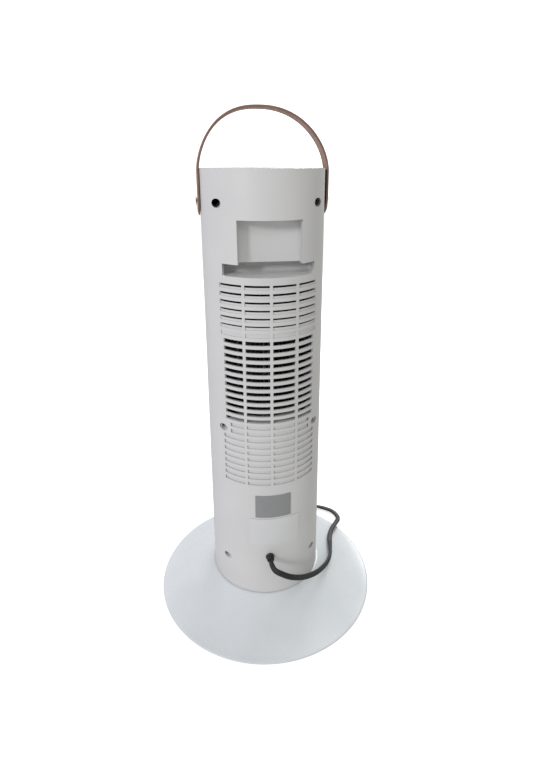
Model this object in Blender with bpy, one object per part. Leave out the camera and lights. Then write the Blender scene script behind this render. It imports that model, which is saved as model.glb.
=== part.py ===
"""Tower fan heater: a conical tower on a round base, with a leather strap over the top.

The origin is on the floor under the middle of the base. +Z is up, the air leaves
towards -Y and the slotted back, with the cord, faces +Y. All lengths are in metres,
and angles round the tower are in degrees from +Y towards +X.
"""

import math

import bmesh
import bpy
from mathutils import Vector

# Gaps and cuts
GAP = 0.0003  # between pieces that touch
RUNNING_GAP = 0.0006  # between pieces that turn or slide past each other
OVERRUN = 0.004  # how far a cutter runs past what it cuts
BITE = 0.001  # how deep a piece that is joined on reaches into its carrier

# Sides of round pieces
SIDES_BASE = 36
SIDES_RING = 24
SIDES_ROUND = 16
SIDES_SMALL = 10
SIDES_SCREW = 8

# Tower
TOWER_BOTTOM = 0.0396
TOWER_TOP = 0.5598
TOWER_RADIUS_BOTTOM = 0.0742
TOWER_RADIUS_TOP = 0.0648
WALL = 0.0022
SEAM_ANGLE = 98.0  # where the back half ends, either side of the middle of the back
SEAM_GAP_ANGLE = 0.3
SIDE_ANGLES = (62.0, 74.0, 86.0)

# Base
BASE_RADIUS = 0.1525
BASE_RIM_BOTTOM = 0.0022
BASE_RIM_TOP = 0.0052
BASE_RIM_WIDTH = 0.0110
BASE_TOP = 0.0386
BASE_WALL = 0.0026
BASE_SLOPE_POWER = 1.3  # 1 is a straight cone, more is a hollower one
BASE_SLOPE_STEPS = 4
NECK_LIP = 0.0023  # how far the neck stands out from the tower
NECK_RADIUS = TOWER_RADIUS_BOTTOM + NECK_LIP
NECK_BORE = 0.0520
NECK_THICKNESS = 0.0056
NECK_SEAT_INSET = 0.0062
NECK_SEAT_RADIUS = TOWER_RADIUS_BOTTOM - NECK_SEAT_INSET  # sunk, for the post's flange
NECK_SEAT_DEPTH = 0.0020
BASE_PLATE_BOTTOM = 0.0020
BASE_PLATE_THICKNESS = 0.0024
WEIGHT_INSET = 0.0325  # of the weight's edge, from the base's
WEIGHT_RADIUS = BASE_RADIUS - WEIGHT_INSET
WEIGHT_BORE = 0.0600
WEIGHT_THICKNESS = 0.0050
FOOT_RING_INSET = 0.0185
FOOT_RING_WIDTH = 0.0160
FOOT_RING_OUTER = BASE_RADIUS - FOOT_RING_INSET
FOOT_RING_INNER = FOOT_RING_OUTER - FOOT_RING_WIDTH
BASE_LEDGE = 0.0040  # of the cover, on the edge of the plate

# Swivel
POST_RADIUS = 0.0220
POST_BORE = 0.0150
POST_TOP = 0.0460
POST_FLANGE_RADIUS = NECK_SEAT_RADIUS - 2 * GAP
POST_FLOOR = 0.0120
BOLT_RADIUS = 0.0030
BOLT_HEAD = 0.0070
BOLT_HEAD_HEIGHT = 0.0012
BOLT_REACH = 0.0100
GLIDE_INSET = 0.0020  # of the glide ring, from the edge of the neck's seat
GLIDE_WIDTH = 0.0080
GLIDE_OUTER = NECK_SEAT_RADIUS - GLIDE_INSET
GLIDE_INNER = GLIDE_OUTER - GLIDE_WIDTH
FLOOR_BOTTOM = 0.0406
FLOOR_THICKNESS = 0.0030
WASHER_OUTER = 0.0290
GEAR_MODULE = 0.00125
GEAR_TEETH = 48
GEAR_SECTOR_TEETH = 17
GEAR_THICKNESS = 0.0045
GEAR_BORE = 0.0180
GEAR_HUB_RADIUS = 0.0265
PINION_TEETH = 12
PINION_THICKNESS = 0.0045
CENTRE_CLEARANCE = 0.0003  # opens the gears' centre distance
TOOTH_SHARE = 0.40  # a tooth's width at the pitch circle, of the tooth spacing
TOOTH_TIP_SHARE = 0.22
TOOTH_ROOT_SHARE = 0.56
ADDENDUM_SHARE = 0.80  # of the module
DEDENDUM_SHARE = 1.20
GEAR_NUT_RADIUS = 0.0225
GEAR_NUT_HEIGHT = 0.0030
POST_SPIGOT_RADIUS = 0.0175
SWIVEL_MOTOR_RADIUS = 0.0205
SWIVEL_MOTOR_HEIGHT = 0.0150
SWIVEL_MOTOR_BOTTOM = 0.0548
SWIVEL_EAR_THICKNESS = 0.0016
SWIVEL_EAR_WIDTH = 0.0090
SWIVEL_POST_SPREAD = 0.0250
SWIVEL_POST_RADIUS = 0.0032
PINION_SHAFT_RADIUS = 0.0022

# Slots in the back
SLOT_TOP = 0.4529
SLOT_PITCH = 0.00843
SLOT_HEIGHT = 0.0046
SLOT_ROWS = 29
SLOT_END_ANGLE = 50.0
SLOT_SHORT_ANGLE = 41.0  # where rows beside the middle screws end
SLOT_SHORT_ROWS = (18, 19, 20)
RIB_ANGLE = 25.2  # middle of each side rib
RIB_HALF_ANGLE = 1.35

# Insert behind the slots
GUIDE_THICKNESS = 0.0018
GUIDE_BORDER = 0.0045  # above the first row and below the last
GUIDE_SLIT_ROWS = 6
GUIDE_SLIT_HEIGHT = 0.0028
GUIDE_WINDOW_FIRST_ROW = 7
GUIDE_WINDOW_LAST_ROW = 18
GUIDE_WINDOW_ANGLE = 46.8

# Pocket for the remote control
RECESS_HALF_WIDTH = 0.0325
RECESS_TOP = 0.5145
RECESS_BACK = 0.0430  # distance of its flat back from the tower's axis
POCKET_HALF_WIDTH = 0.0476
POCKET_TOP = 0.4725
POCKET_FLOOR = 0.4605
POCKET_BACK = 0.0230
POCKET_WALL = 0.0018

# Screws that hold the two halves
SHELL_SCREW_HEIGHTS = (0.529, 0.283, 0.087)
SHELL_SCREW_ANGLE = 50.5
COUNTERBORE_RADIUS = 0.0043
SCREW_HOLE_CLEARANCE = 0.0004
BOSS_RADIUS = 0.0062
BOSS_MEET = 0.0010  # where the two bosses meet, behind the tower's axis
SHELL_SCREW_SEAT = 0.0080
SHELL_SCREW_HEAD = 0.0036
SHELL_SCREW_HEAD_HEIGHT = 0.0030
SHELL_SCREW_RADIUS = 0.0015
SHELL_SCREW_REACH = 0.0210

# Front
OUTLET_BOTTOM = 0.2280
OUTLET_TOP = 0.4820
OUTLET_HALF_ANGLE = 40.0
OUTLET_GAP = 0.0004
OUTLET_GAP_ANGLE = 0.4
OUTLET_BORDER = 0.0070
OUTLET_BORDER_ANGLE = 3.6
OUTLET_COLUMNS = 11
OUTLET_BAR_SHARE = 0.42  # a bar's width, of the bar spacing
OUTLET_SECTIONS = 2
FRONT_SIDE_STEPS = 4
FRONT_WINDOW_STEPS = 6
OUTLET_CROSS_RIB = 0.0040

# Top
CAP_THICKNESS = 0.0028
CAP_SKIRT_DEPTH = 0.0080
CAP_SKIRT_WALL = 0.0024
BUTTON_RADIUS = 0.0060
BUTTON_TRAVEL = 0.0010
BUTTON_FLANGE = 0.0013
BUTTON_STEM_RADIUS = 0.0025
BUTTON_ROW = -0.0400
BUTTON_SPACING = 0.0180
BUTTON_NAMES = ("power_button", "heat_button", "timer_button", "swivel_button")
DISPLAY_WIDTH = 0.0360
DISPLAY_DEPTH = 0.0140
DISPLAY_MIDDLE = -0.0210
DISPLAY_THICKNESS = 0.0012
DISPLAY_RECESS = 0.0015
BOARD_THICKNESS = 0.0016
CONTROL_BOARD_TOP = 0.5426
CONTROL_BOARD_HALF_WIDTH = 0.0330
CONTROL_BOARD_BACK = -0.0080
CONTROL_BOARD_SHOULDER = -0.0480
CONTROL_BOARD_FRONT = -0.0580
CONTROL_BOARD_NOSE = 0.0160
CAP_POST_RADIUS = 0.0025
CAP_POSTS = ((-0.0290, -0.0140), (0.0290, -0.0140), (0.0, -0.0540))
TACT_WIDTH = 0.0060
TACT_CLEARANCE = 0.0003  # below a button that is pressed home

# Strap
STRAP_THICKNESS = 0.0020
STRAP_HALF_WIDTH = 0.0120
STRAP_OVERLAP = 0.0448  # how far its ends reach down the tower
STRAP_SPRING_DROP = 0.0038  # how far below the tower's top the arch begins
STRAP_RISE = 0.0557  # of the arch above the tower's top
STRAP_END = TOWER_TOP - STRAP_OVERLAP
STRAP_SPRING = TOWER_TOP - STRAP_SPRING_DROP
STRAP_APEX = TOWER_TOP + STRAP_RISE
STRAP_OFF_RIM = 0.0006
STRAP_ARCH_STEPS = 16
STRAP_SIDE_STEPS = 2
RIVET_FROM_END = 0.0140
RIVET_HEIGHT = STRAP_END + RIVET_FROM_END
RIVET_RADIUS = 0.0045
RIVET_HEAD_HEIGHT = 0.0008
RIVET_SHANK = 0.0018
RIVET_REACH = 0.0060

# Frame that carries the works
CHASSIS_FRONT = 0.0090
CHASSIS_THICKNESS = 0.0030
CHASSIS_HALF_WIDTH = 0.0460
CHASSIS_WINDOW = 0.0360
CHASSIS_TOP = 0.4400
CHASSIS_LEG_TOP = 0.0800
CHASSIS_PANEL_TOP = 0.2250
CHASSIS_WINDOW_TOP = 0.4020
CHASSIS_FOOT_FRONT = 0.0030
CHASSIS_FOOT_BACK = 0.0180
CHASSIS_FOOT_HEIGHT = 0.0050
CHASSIS_PEG_RADIUS = 0.0020

# Blower
WHEEL_RADIUS = 0.0300
WHEEL_BOTTOM = 0.2975
WHEEL_TOP = 0.3905
WHEEL_DISC = 0.0020
WHEEL_BLADES = 16
BLADE_INNER = 0.0235
BLADE_THICKNESS = 0.0011
BLADE_LEAN = 24.0
WHEEL_RIM_INSET = 0.0004
SHAFT_RADIUS = 0.0025
SHAFT_BOTTOM = 0.2380
SHAFT_TOP = 0.4000
HOUSING_BOTTOM = 0.2920
HOUSING_TOP = 0.3960
HOUSING_PLATE = 0.0024
HOUSING_HALF_WIDTH = 0.0380
HOUSING_BACK_HALF_WIDTH = 0.0340
HOUSING_BACK = 0.0300
HOUSING_FRONT = -0.0370
HOUSING_WALL = 0.0020
HOUSING_SHAFT_HOLE = 0.0060
BEARING_RADIUS = 0.0058
BEARING_HEIGHT = 0.0060
CORE_BOTTOM = 0.2500
CORE_TOP = 0.2700
CORE_HALF_WIDTH = 0.0240
CORE_FRONT = -0.0200
CORE_BODY_BACK = 0.0180
CORE_YOKE_FRONT = 0.0300
CORE_YOKE_BACK = 0.0380
CORE_ARM_INNER = 0.0150
ROTOR_RADIUS = 0.0126
COIL_HALF_WIDTH = 0.0135
COIL_BUILD = 0.0070
BRACKET_HALF_DEPTH = 0.0070
BRACKET_BAR = 0.0022
BRACKET_LEG = 0.0060
BRACKET_STANDOFF = 0.0050
BUSH_RADIUS = 0.0048
BUSH_HEIGHT = 0.0056

# Heating element
HEATER_HALF_WIDTH = 0.0380
HEATER_BORDER = 0.0050
HEATER_DEPTH = 0.0130
PTC_BARS = 3
PTC_BAR_WIDTH = 0.0030
FIN_PITCH = 0.0150
FIN_THICKNESS = 0.0006
FIN_SINK = 0.0003  # how deep a fold reaches into the bar beside it
CUTOUT_RADIUS = 0.0075
CUTOUT_HEIGHT = 0.0050
CUTOUT_ACROSS = 0.0180
FUSE_RADIUS = 0.0020
FUSE_LENGTH = 0.0140
FUSE_ACROSS = -0.0150

# Power board
POWER_BOARD_BOTTOM = 0.0900
POWER_BOARD_TOP = 0.2050
POWER_BOARD_HALF_WIDTH = 0.0340
TRAY_BORDER = 0.0020
TRAY_THICKNESS = 0.0014
SPACER_RADIUS = 0.0030
SPACER_LENGTH = 0.0040
SPACER_INSET = 0.0060
RELAY_SIZE = (0.0150, 0.0160, 0.0190)
RELAY_PLACE = (-0.0160, 0.1780)
CAPACITOR_SIZE = (0.0120, 0.0140, 0.0260)
CAPACITOR_PLACE = (0.0200, 0.1700)
TERMINAL_SIZE = (0.0280, 0.0120, 0.0120)
TERMINAL_PLACE = (-0.0100, 0.1120)
TILT_SIZE = (0.0200, 0.0140, 0.0160)
TILT_PLACE = (-0.0460, -0.0150)

# Labels, left bare
LABEL_THICKNESS = 0.0004
RATING_LABEL_ANGLES = (-18.8, 16.8)  # from the middle of the back, towards +X
RATING_LABEL_BOTTOM = 0.1649
RATING_LABEL_TOP = 0.1975
PAPER_LABEL_ANGLES = (-28.6, 23.0)
PAPER_LABEL_BOTTOM = 0.1222
PAPER_LABEL_TOP = 0.1620

# Cord
CORD_RADIUS = 0.0037
CORD_EXIT_ACROSS = 0.0035
CORD_EXIT_HEIGHT = 0.1025
BUSH_HOLE = 0.0050
BUSH_FLANGE_RADIUS = 0.0066
BUSH_FLANGE = 0.0020
BUSH_NECK_RADIUS = 0.0046
BUSH_COLLAR = 0.0030
BUSH_TAIL_RADIUS = 0.0042
BUSH_INNER_LENGTH = 0.0120
BUSH_SLEEVE_LENGTH = 0.0050
BUSH_SLEEVE_RADIUS = 0.0050
BUSH_TIP_RADIUS = 0.0042
CORD_TUBE_POINTS = 60
COIL_SELF_GAP = 0.0008
COIL_INNER_RADIUS = 0.0330
COIL_MIDDLE = (-0.0271, -0.2140)
COIL_LIFT = 0.0012
COIL_TURNS_IN = 2.25
COIL_TURNS_CLIMB = 0.5
COIL_TURNS_OUT = 2.6
COIL_CLIMB_INSET = 0.0014  # how far the climbing turn bends inwards
COIL_POINTS = 24
COIL_LEAVE_ANGLE = 82.0  # of the outer end, from +X towards +Y
TIE_THICKNESS = 0.0008
TIE_WIDTH = 0.0080
TIE_ANGLE = 40.0
PLUG_LENGTH = 0.0340
PLUG_WIDTH = 0.0260
PLUG_HEIGHT = 0.0170
PLUG_WAIST = 0.0070
PLUG_NECK_LENGTH = 0.0240
BLADE_LENGTH = 0.0175
BLADE_HEIGHT = 0.0063
PIN_BLADE_THICKNESS = 0.0015
BLADE_SPACING = 0.0127

# The cord's way from the bush to the coil, chosen by hand
CORD_ROUTE = (
    (0.0030, 0.0890, 0.1020),
    (0.0000, 0.0960, 0.1000),
    (-0.0080, 0.0985, 0.0955),
    (-0.0200, 0.0965, 0.0865),
    (-0.0360, 0.0865, 0.0730),
    (-0.0510, 0.0735, 0.0610),
    (-0.0655, 0.0590, 0.0510),
    (-0.0790, 0.0420, 0.0425),
    (-0.0890, 0.0270, 0.0375),
    (-0.0960, 0.0120, 0.0345),
    (-0.1005, -0.0050, 0.0320),
    (-0.1045, -0.0240, 0.0290),
    (-0.1105, -0.0430, 0.0240),
    (-0.1185, -0.0600, 0.0190),
    (-0.1290, -0.0770, 0.0140),
    (-0.1375, -0.0920, 0.0080),
    (-0.1395, -0.1060, 0.0050),
    (-0.1330, -0.1200, 0.0049),
    (-0.1180, -0.1310, 0.0049),
    (-0.0980, -0.1400, 0.0049),
    (-0.0750, -0.1510, 0.0049),
    (-0.0500, -0.1590, 0.0049),
)


def rear_angles():
    """Where the back half's facets meet."""
    half = [RIB_HALF_ANGLE, RIB_ANGLE - RIB_HALF_ANGLE]
    half += [RIB_ANGLE + RIB_HALF_ANGLE, SLOT_SHORT_ANGLE, SLOT_END_ANGLE, *SIDE_ANGLES]
    half.append(SEAM_ANGLE - SEAM_GAP_ANGLE / 2)
    return [-a for a in reversed(half)] + half


def front_angles():
    """Where the front half's facets meet."""
    first = SEAM_ANGLE + SEAM_GAP_ANGLE / 2
    edge = 180.0 - OUTLET_HALF_ANGLE
    half = [first + (edge - first) * k / FRONT_SIDE_STEPS for k in range(FRONT_SIDE_STEPS)]
    window = 2 * OUTLET_HALF_ANGLE / FRONT_WINDOW_STEPS
    middle = [edge + window * k for k in range(FRONT_WINDOW_STEPS + 1)]
    return half + middle + [360.0 - a for a in reversed(half)]


def tower_angles():
    """All round the tower, with one edge at each seam."""
    return rear_angles()[:-1] + [SEAM_ANGLE] + front_angles()[1:-1] + [360.0 - SEAM_ANGLE]


def tower_radius(z):
    """Outer radius of the tower at a height."""
    share = (z - TOWER_BOTTOM) / (TOWER_TOP - TOWER_BOTTOM)
    return TOWER_RADIUS_BOTTOM + (TOWER_RADIUS_TOP - TOWER_RADIUS_BOTTOM) * share


def round_tower(radius, angle, z):
    """A point at an angle from the middle of the back, towards +X."""
    turn = math.radians(angle)
    return Vector((radius * math.sin(turn), radius * math.cos(turn), z))


def make_material(name, colour, roughness, metallic=0.0):
    material = bpy.data.materials.new(name)
    material.use_nodes = True
    shader = material.node_tree.nodes["Principled BSDF"]
    shader.inputs["Base Color"].default_value = (*colour, 1.0)
    shader.inputs["Roughness"].default_value = roughness
    shader.inputs["Metallic"].default_value = metallic
    return material


def circle(radius, sides, middle=(0.0, 0.0), phase=0.0):
    """The points of a regular outline."""
    points = []
    for i in range(sides):
        turn = 2 * math.pi * (i + phase) / sides
        points.append((middle[0] + radius * math.cos(turn), middle[1] + radius * math.sin(turn)))
    return points


def place(axis, u, v, w):
    """A point of an outline (u, v) at w along an axis."""
    if axis == "X":
        return Vector((w, u, v))
    if axis == "Y":
        return Vector((u, w, v))
    return Vector((u, v, w))


def add_prism(mesh, outline, low, high, axis="Z"):
    """An outline drawn out along an axis."""
    bottom = [mesh.verts.new(place(axis, u, v, low)) for u, v in outline]
    top = [mesh.verts.new(place(axis, u, v, high)) for u, v in outline]
    mesh.faces.new(bottom)
    mesh.faces.new(reversed(top))
    for i in range(len(outline)):
        j = (i + 1) % len(outline)
        mesh.faces.new((bottom[i], top[i], top[j], bottom[j]))


def add_box(mesh, low, high):
    """A box between two corners."""
    outline = ((low[0], low[1]), (high[0], low[1]), (high[0], high[1]), (low[0], high[1]))
    add_prism(mesh, outline, low[2], high[2])


def add_cylinder(mesh, radius, low, high, sides, middle=(0.0, 0.0), axis="Z"):
    add_prism(mesh, circle(radius, sides, middle), low, high, axis)


def add_turned(mesh, profile, sides, middle=(0.0, 0.0), axis="Z"):
    """A closed profile of (radius, place along the axis) turned about the axis.

    A profile that starts and ends on the axis gives a solid piece, and any other a ring.
    """
    rings = []
    for radius, along in profile:
        if radius == 0:
            rings.append([mesh.verts.new(place(axis, middle[0], middle[1], along))])
        else:
            points = circle(radius, sides, middle)
            rings.append([mesh.verts.new(place(axis, u, v, along)) for u, v in points])
    join_rings(mesh, rings, profile[0][0] != 0)


def add_faceted(mesh, profile):
    """A closed profile of (radius, z) taken round the tower with the shells' own facets."""
    angles = tower_angles()
    rings = []
    for radius, z in profile:
        spots = angles if radius else angles[:1]
        rings.append([mesh.verts.new(round_tower(radius, a, z)) for a in spots])
    join_rings(mesh, rings, profile[0][0] != 0)


def join_rings(mesh, rings, closed):
    """Faces between rings of points, where a ring of one point is a tip."""
    pairs = list(zip(rings, rings[1:]))
    if closed:
        pairs.append((rings[-1], rings[0]))
    for first, second in pairs:
        count = max(len(first), len(second))
        for i in range(count):
            j = (i + 1) % count
            if len(first) == 1:
                mesh.faces.new((first[0], second[j], second[i]))
            elif len(second) == 1:
                mesh.faces.new((first[i], first[j], second[0]))
            else:
                mesh.faces.new((first[i], first[j], second[j], second[i]))


def add_tube_box(mesh, low, high, hole_low, hole_high, axis):
    """A box outline with a square hole right through it along an axis."""
    index = "XYZ".index(axis)
    across = [i for i in range(3) if i != index]
    u, v = across
    outer = [(low[u], low[v]), (high[u], low[v]), (high[u], high[v]), (low[u], high[v])]
    inner = [
        (hole_low[u], hole_low[v]),
        (hole_high[u], hole_low[v]),
        (hole_high[u], hole_high[v]),
        (hole_low[u], hole_high[v]),
    ]
    loops = []
    for outline in (outer, inner):
        for along in (low[index], high[index]):
            loops.append([mesh.verts.new(place(axis, a, b, along)) for a, b in outline])
    outer_low, outer_high, inner_low, inner_high = loops
    for first, second in (
        (outer_low, outer_high),
        (inner_high, inner_low),
        (outer_high, inner_high),
        (inner_low, outer_low),
    ):
        for i in range(4):
            j = (i + 1) % 4
            mesh.faces.new((first[i], first[j], second[j], second[i]))


def add_panel(mesh, angles, levels, is_open, outer, thickness, point=round_tower):
    """A wall round the tower, made of cells between angles and levels.

    is_open(i, j) says which cells are left out, and outer(z) is the outer radius.
    """
    corners = {}

    def corner(i, j, inside):
        if (i, j, inside) not in corners:
            z = levels[j]
            radius = outer(z) - (thickness if inside else 0)
            corners[i, j, inside] = mesh.verts.new(point(radius, angles[i], z))
        return corners[i, j, inside]

    def solid(i, j):
        inside = 0 <= i < len(angles) - 1 and 0 <= j < len(levels) - 1
        return inside and not is_open(i, j)

    for i in range(len(angles) - 1):
        for j in range(len(levels) - 1):
            if not solid(i, j):
                continue
            ring = ((i, j), (i + 1, j), (i + 1, j + 1), (i, j + 1))
            mesh.faces.new([corner(a, b, False) for a, b in ring])
            mesh.faces.new([corner(a, b, True) for a, b in reversed(ring)])
            sides = (((i, j - 1), 0, 1), ((i + 1, j), 1, 2), ((i, j + 1), 2, 3), ((i - 1, j), 3, 0))
            for neighbour, first, second in sides:
                if not solid(*neighbour):
                    a, b = ring[first], ring[second]
                    mesh.faces.new(
                        (corner(*b, False), corner(*a, False), corner(*a, True), corner(*b, True))
                    )


def finish(name, mesh, material, smooth=True):
    """Turns a bmesh into an object with its faces pointing out."""
    bmesh.ops.recalc_face_normals(mesh, faces=mesh.faces)
    data = bpy.data.meshes.new(name)
    mesh.to_mesh(data)
    mesh.free()
    if smooth:
        data.shade_smooth()
        data.set_sharp_from_angle(angle=math.radians(30))
    data.materials.append(material)
    piece = bpy.data.objects.new(name, data)
    bpy.context.scene.collection.objects.link(piece)
    return piece


def guide_shape(name, mesh):
    """A shape that only cuts or joins others."""
    piece = finish(name, mesh, MATERIALS["guide"], smooth=False)
    piece.hide_render = True
    piece.display_type = "WIRE"
    return piece


def boolean(piece, tool, operation):
    """Adds a live Boolean to a piece."""
    modifier = piece.modifiers.new(tool.name, "BOOLEAN")
    modifier.operation = operation
    modifier.solver = "EXACT"
    modifier.object = tool


def around(count, radius, start=0.0):
    """Places on a circle, the first one at an angle from +X."""
    places = []
    for i in range(count):
        turn = math.radians(start) + 2 * math.pi * i / count
        places.append((radius * math.cos(turn), radius * math.sin(turn)))
    return places


def smooth_route(points, count):
    """Evenly spaced points on a Catmull-Rom curve through a route's points."""
    route = [Vector(p) for p in points]
    route.insert(0, 2 * route[0] - route[1])
    route.append(2 * route[-1] - route[-2])
    fine = []
    steps = 24
    for a, b, c, d in zip(route, route[1:], route[2:], route[3:]):
        for k in range(steps):
            t = k / steps
            fine.append(
                0.5
                * (
                    2 * b
                    + (c - a) * t
                    + (2 * a - 5 * b + 4 * c - d) * t**2
                    + (3 * b - a - 3 * c + d) * t**3
                )
            )
    fine.append(route[-2])
    along = [0.0]
    for a, b in zip(fine, fine[1:]):
        along.append(along[-1] + (b - a).length)
    spaced = []
    j = 0
    for k in range(count):
        wanted = along[-1] * k / (count - 1)
        while j < len(fine) - 2 and along[j + 1] < wanted:
            j += 1
        span = along[j + 1] - along[j]
        spaced.append(fine[j].lerp(fine[j + 1], (wanted - along[j]) / span))
    return spaced


def add_tube(name, points, radius, resolution, material):
    """A round tube along points, with closed ends."""
    curve = bpy.data.curves.new(name, "CURVE")
    curve.dimensions = "3D"
    curve.bevel_depth = radius
    curve.bevel_resolution = resolution
    curve.use_fill_caps = True
    spline = curve.splines.new("POLY")
    spline.points.add(len(points) - 1)
    for spot, point in zip(spline.points, points):
        spot.co = (*point, 1.0)
    curve.materials.append(material)
    piece = bpy.data.objects.new(name, curve)
    bpy.context.scene.collection.objects.link(piece)
    return piece


def base_height(radius):
    """Height of the base's upper face at a radius."""
    share = (BASE_RADIUS - radius) / (BASE_RADIUS - NECK_RADIUS)
    return BASE_RIM_TOP + (BASE_TOP - BASE_RIM_TOP) * share**BASE_SLOPE_POWER


def make_base_cover():
    """The conical cover, with a flat neck and a rim whose ledge rests on the plate."""
    rim_inner = BASE_RADIUS - BASE_RIM_WIDTH
    ledge_inner = rim_inner - BASE_LEDGE
    neck_outer_inside = NECK_RADIUS - BASE_WALL
    upper = []
    for k in range(BASE_SLOPE_STEPS + 1):
        radius = BASE_RADIUS + (NECK_RADIUS - BASE_RADIUS) * k / BASE_SLOPE_STEPS
        upper.append((radius, base_height(radius)))
    lower = []
    for k in range(BASE_SLOPE_STEPS):
        reach = (ledge_inner - neck_outer_inside) * k / (BASE_SLOPE_STEPS - 1)
        radius = neck_outer_inside + reach
        lower.append((radius, base_height(radius + BASE_WALL) - BASE_WALL))
    lower[0] = (neck_outer_inside, BASE_TOP - NECK_THICKNESS)
    seat = BASE_TOP - NECK_SEAT_DEPTH
    ledge = BASE_PLATE_BOTTOM + BASE_PLATE_THICKNESS + GAP
    profile = [(BASE_RADIUS, BASE_RIM_BOTTOM), *upper, (NECK_SEAT_RADIUS, BASE_TOP)]
    profile += [(NECK_SEAT_RADIUS, seat), (NECK_BORE, seat)]
    profile += [(NECK_BORE, BASE_TOP - NECK_THICKNESS), *lower]
    profile += [(ledge_inner, ledge), (rim_inner, ledge), (rim_inner, BASE_RIM_BOTTOM)]
    mesh = bmesh.new()
    add_turned(mesh, profile, SIDES_BASE)
    finish("base_cover", mesh, MATERIALS["base_white"])


def add_ring(mesh, outer, inner, low, high, sides, middle=(0.0, 0.0), axis="Z"):
    profile = [(outer, low), (outer, high), (inner, high), (inner, low)]
    add_turned(mesh, profile, sides, middle, axis)


def make_base_plate():
    """The plate that closes the base, its weight, its foot ring and the bolt that clamps them."""
    top = BASE_PLATE_BOTTOM + BASE_PLATE_THICKNESS
    plate_radius = BASE_RADIUS - BASE_RIM_WIDTH - GAP
    mesh = bmesh.new()
    add_ring(mesh, plate_radius, BOLT_RADIUS + GAP, BASE_PLATE_BOTTOM, top, SIDES_BASE)
    finish("base_plate", mesh, MATERIALS["grey_plastic"])

    mesh = bmesh.new()
    low = top + GAP
    add_ring(mesh, WEIGHT_RADIUS, WEIGHT_BORE, low, low + WEIGHT_THICKNESS, SIDES_RING)
    finish("base_weight", mesh, MATERIALS["steel"])

    mesh = bmesh.new()
    add_ring(mesh, FOOT_RING_OUTER, FOOT_RING_INNER, 0, BASE_PLATE_BOTTOM - GAP, SIDES_BASE)
    finish("foot_ring", mesh, MATERIALS["rubber"])

    mesh = bmesh.new()
    head_top = BASE_PLATE_BOTTOM - GAP
    head_low = head_top - BOLT_HEAD_HEIGHT
    tip = top + BOLT_REACH
    profile = [(0, head_low), (BOLT_HEAD, head_low), (BOLT_HEAD, head_top)]
    profile += [(BOLT_RADIUS, head_top), (BOLT_RADIUS, tip), (0, tip)]
    add_turned(mesh, profile, SIDES_SMALL)
    finish("centre_bolt", mesh, MATERIALS["zinc"])


def gear_outline(teeth, made, plain_radius):
    """Outline of a gear with some of its teeth cut, centred on -Y, and the rest a plain arc.

    An odd number of teeth puts one at -Y, and an even number a space.
    """
    pitch_radius = teeth * GEAR_MODULE / 2
    tip = pitch_radius + GEAR_MODULE * ADDENDUM_SHARE
    root = pitch_radius - GEAR_MODULE * DEDENDUM_SHARE
    spacing = 2 * math.pi / teeth
    points = []

    def add(radius, turn):
        points.append((radius * math.sin(turn), -radius * math.cos(turn)))

    first = -(made - 1) / 2
    for k in range(made):
        middle = (first + k) * spacing
        flanks = ((root, TOOTH_ROOT_SHARE), (pitch_radius, TOOTH_SHARE), (tip, TOOTH_TIP_SHARE))
        for radius, share in flanks:
            add(radius, middle - spacing * share / 2)
        for radius, share in reversed(flanks):
            add(radius, middle + spacing * share / 2)
    if made < teeth:
        start = (first + made - 0.5) * spacing
        finish_turn = (first - 0.5) * spacing + 2 * math.pi
        arc_steps = 20
        for k in range(arc_steps + 1):
            add(plain_radius, start + (finish_turn - start) * k / arc_steps)
    return points


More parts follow.
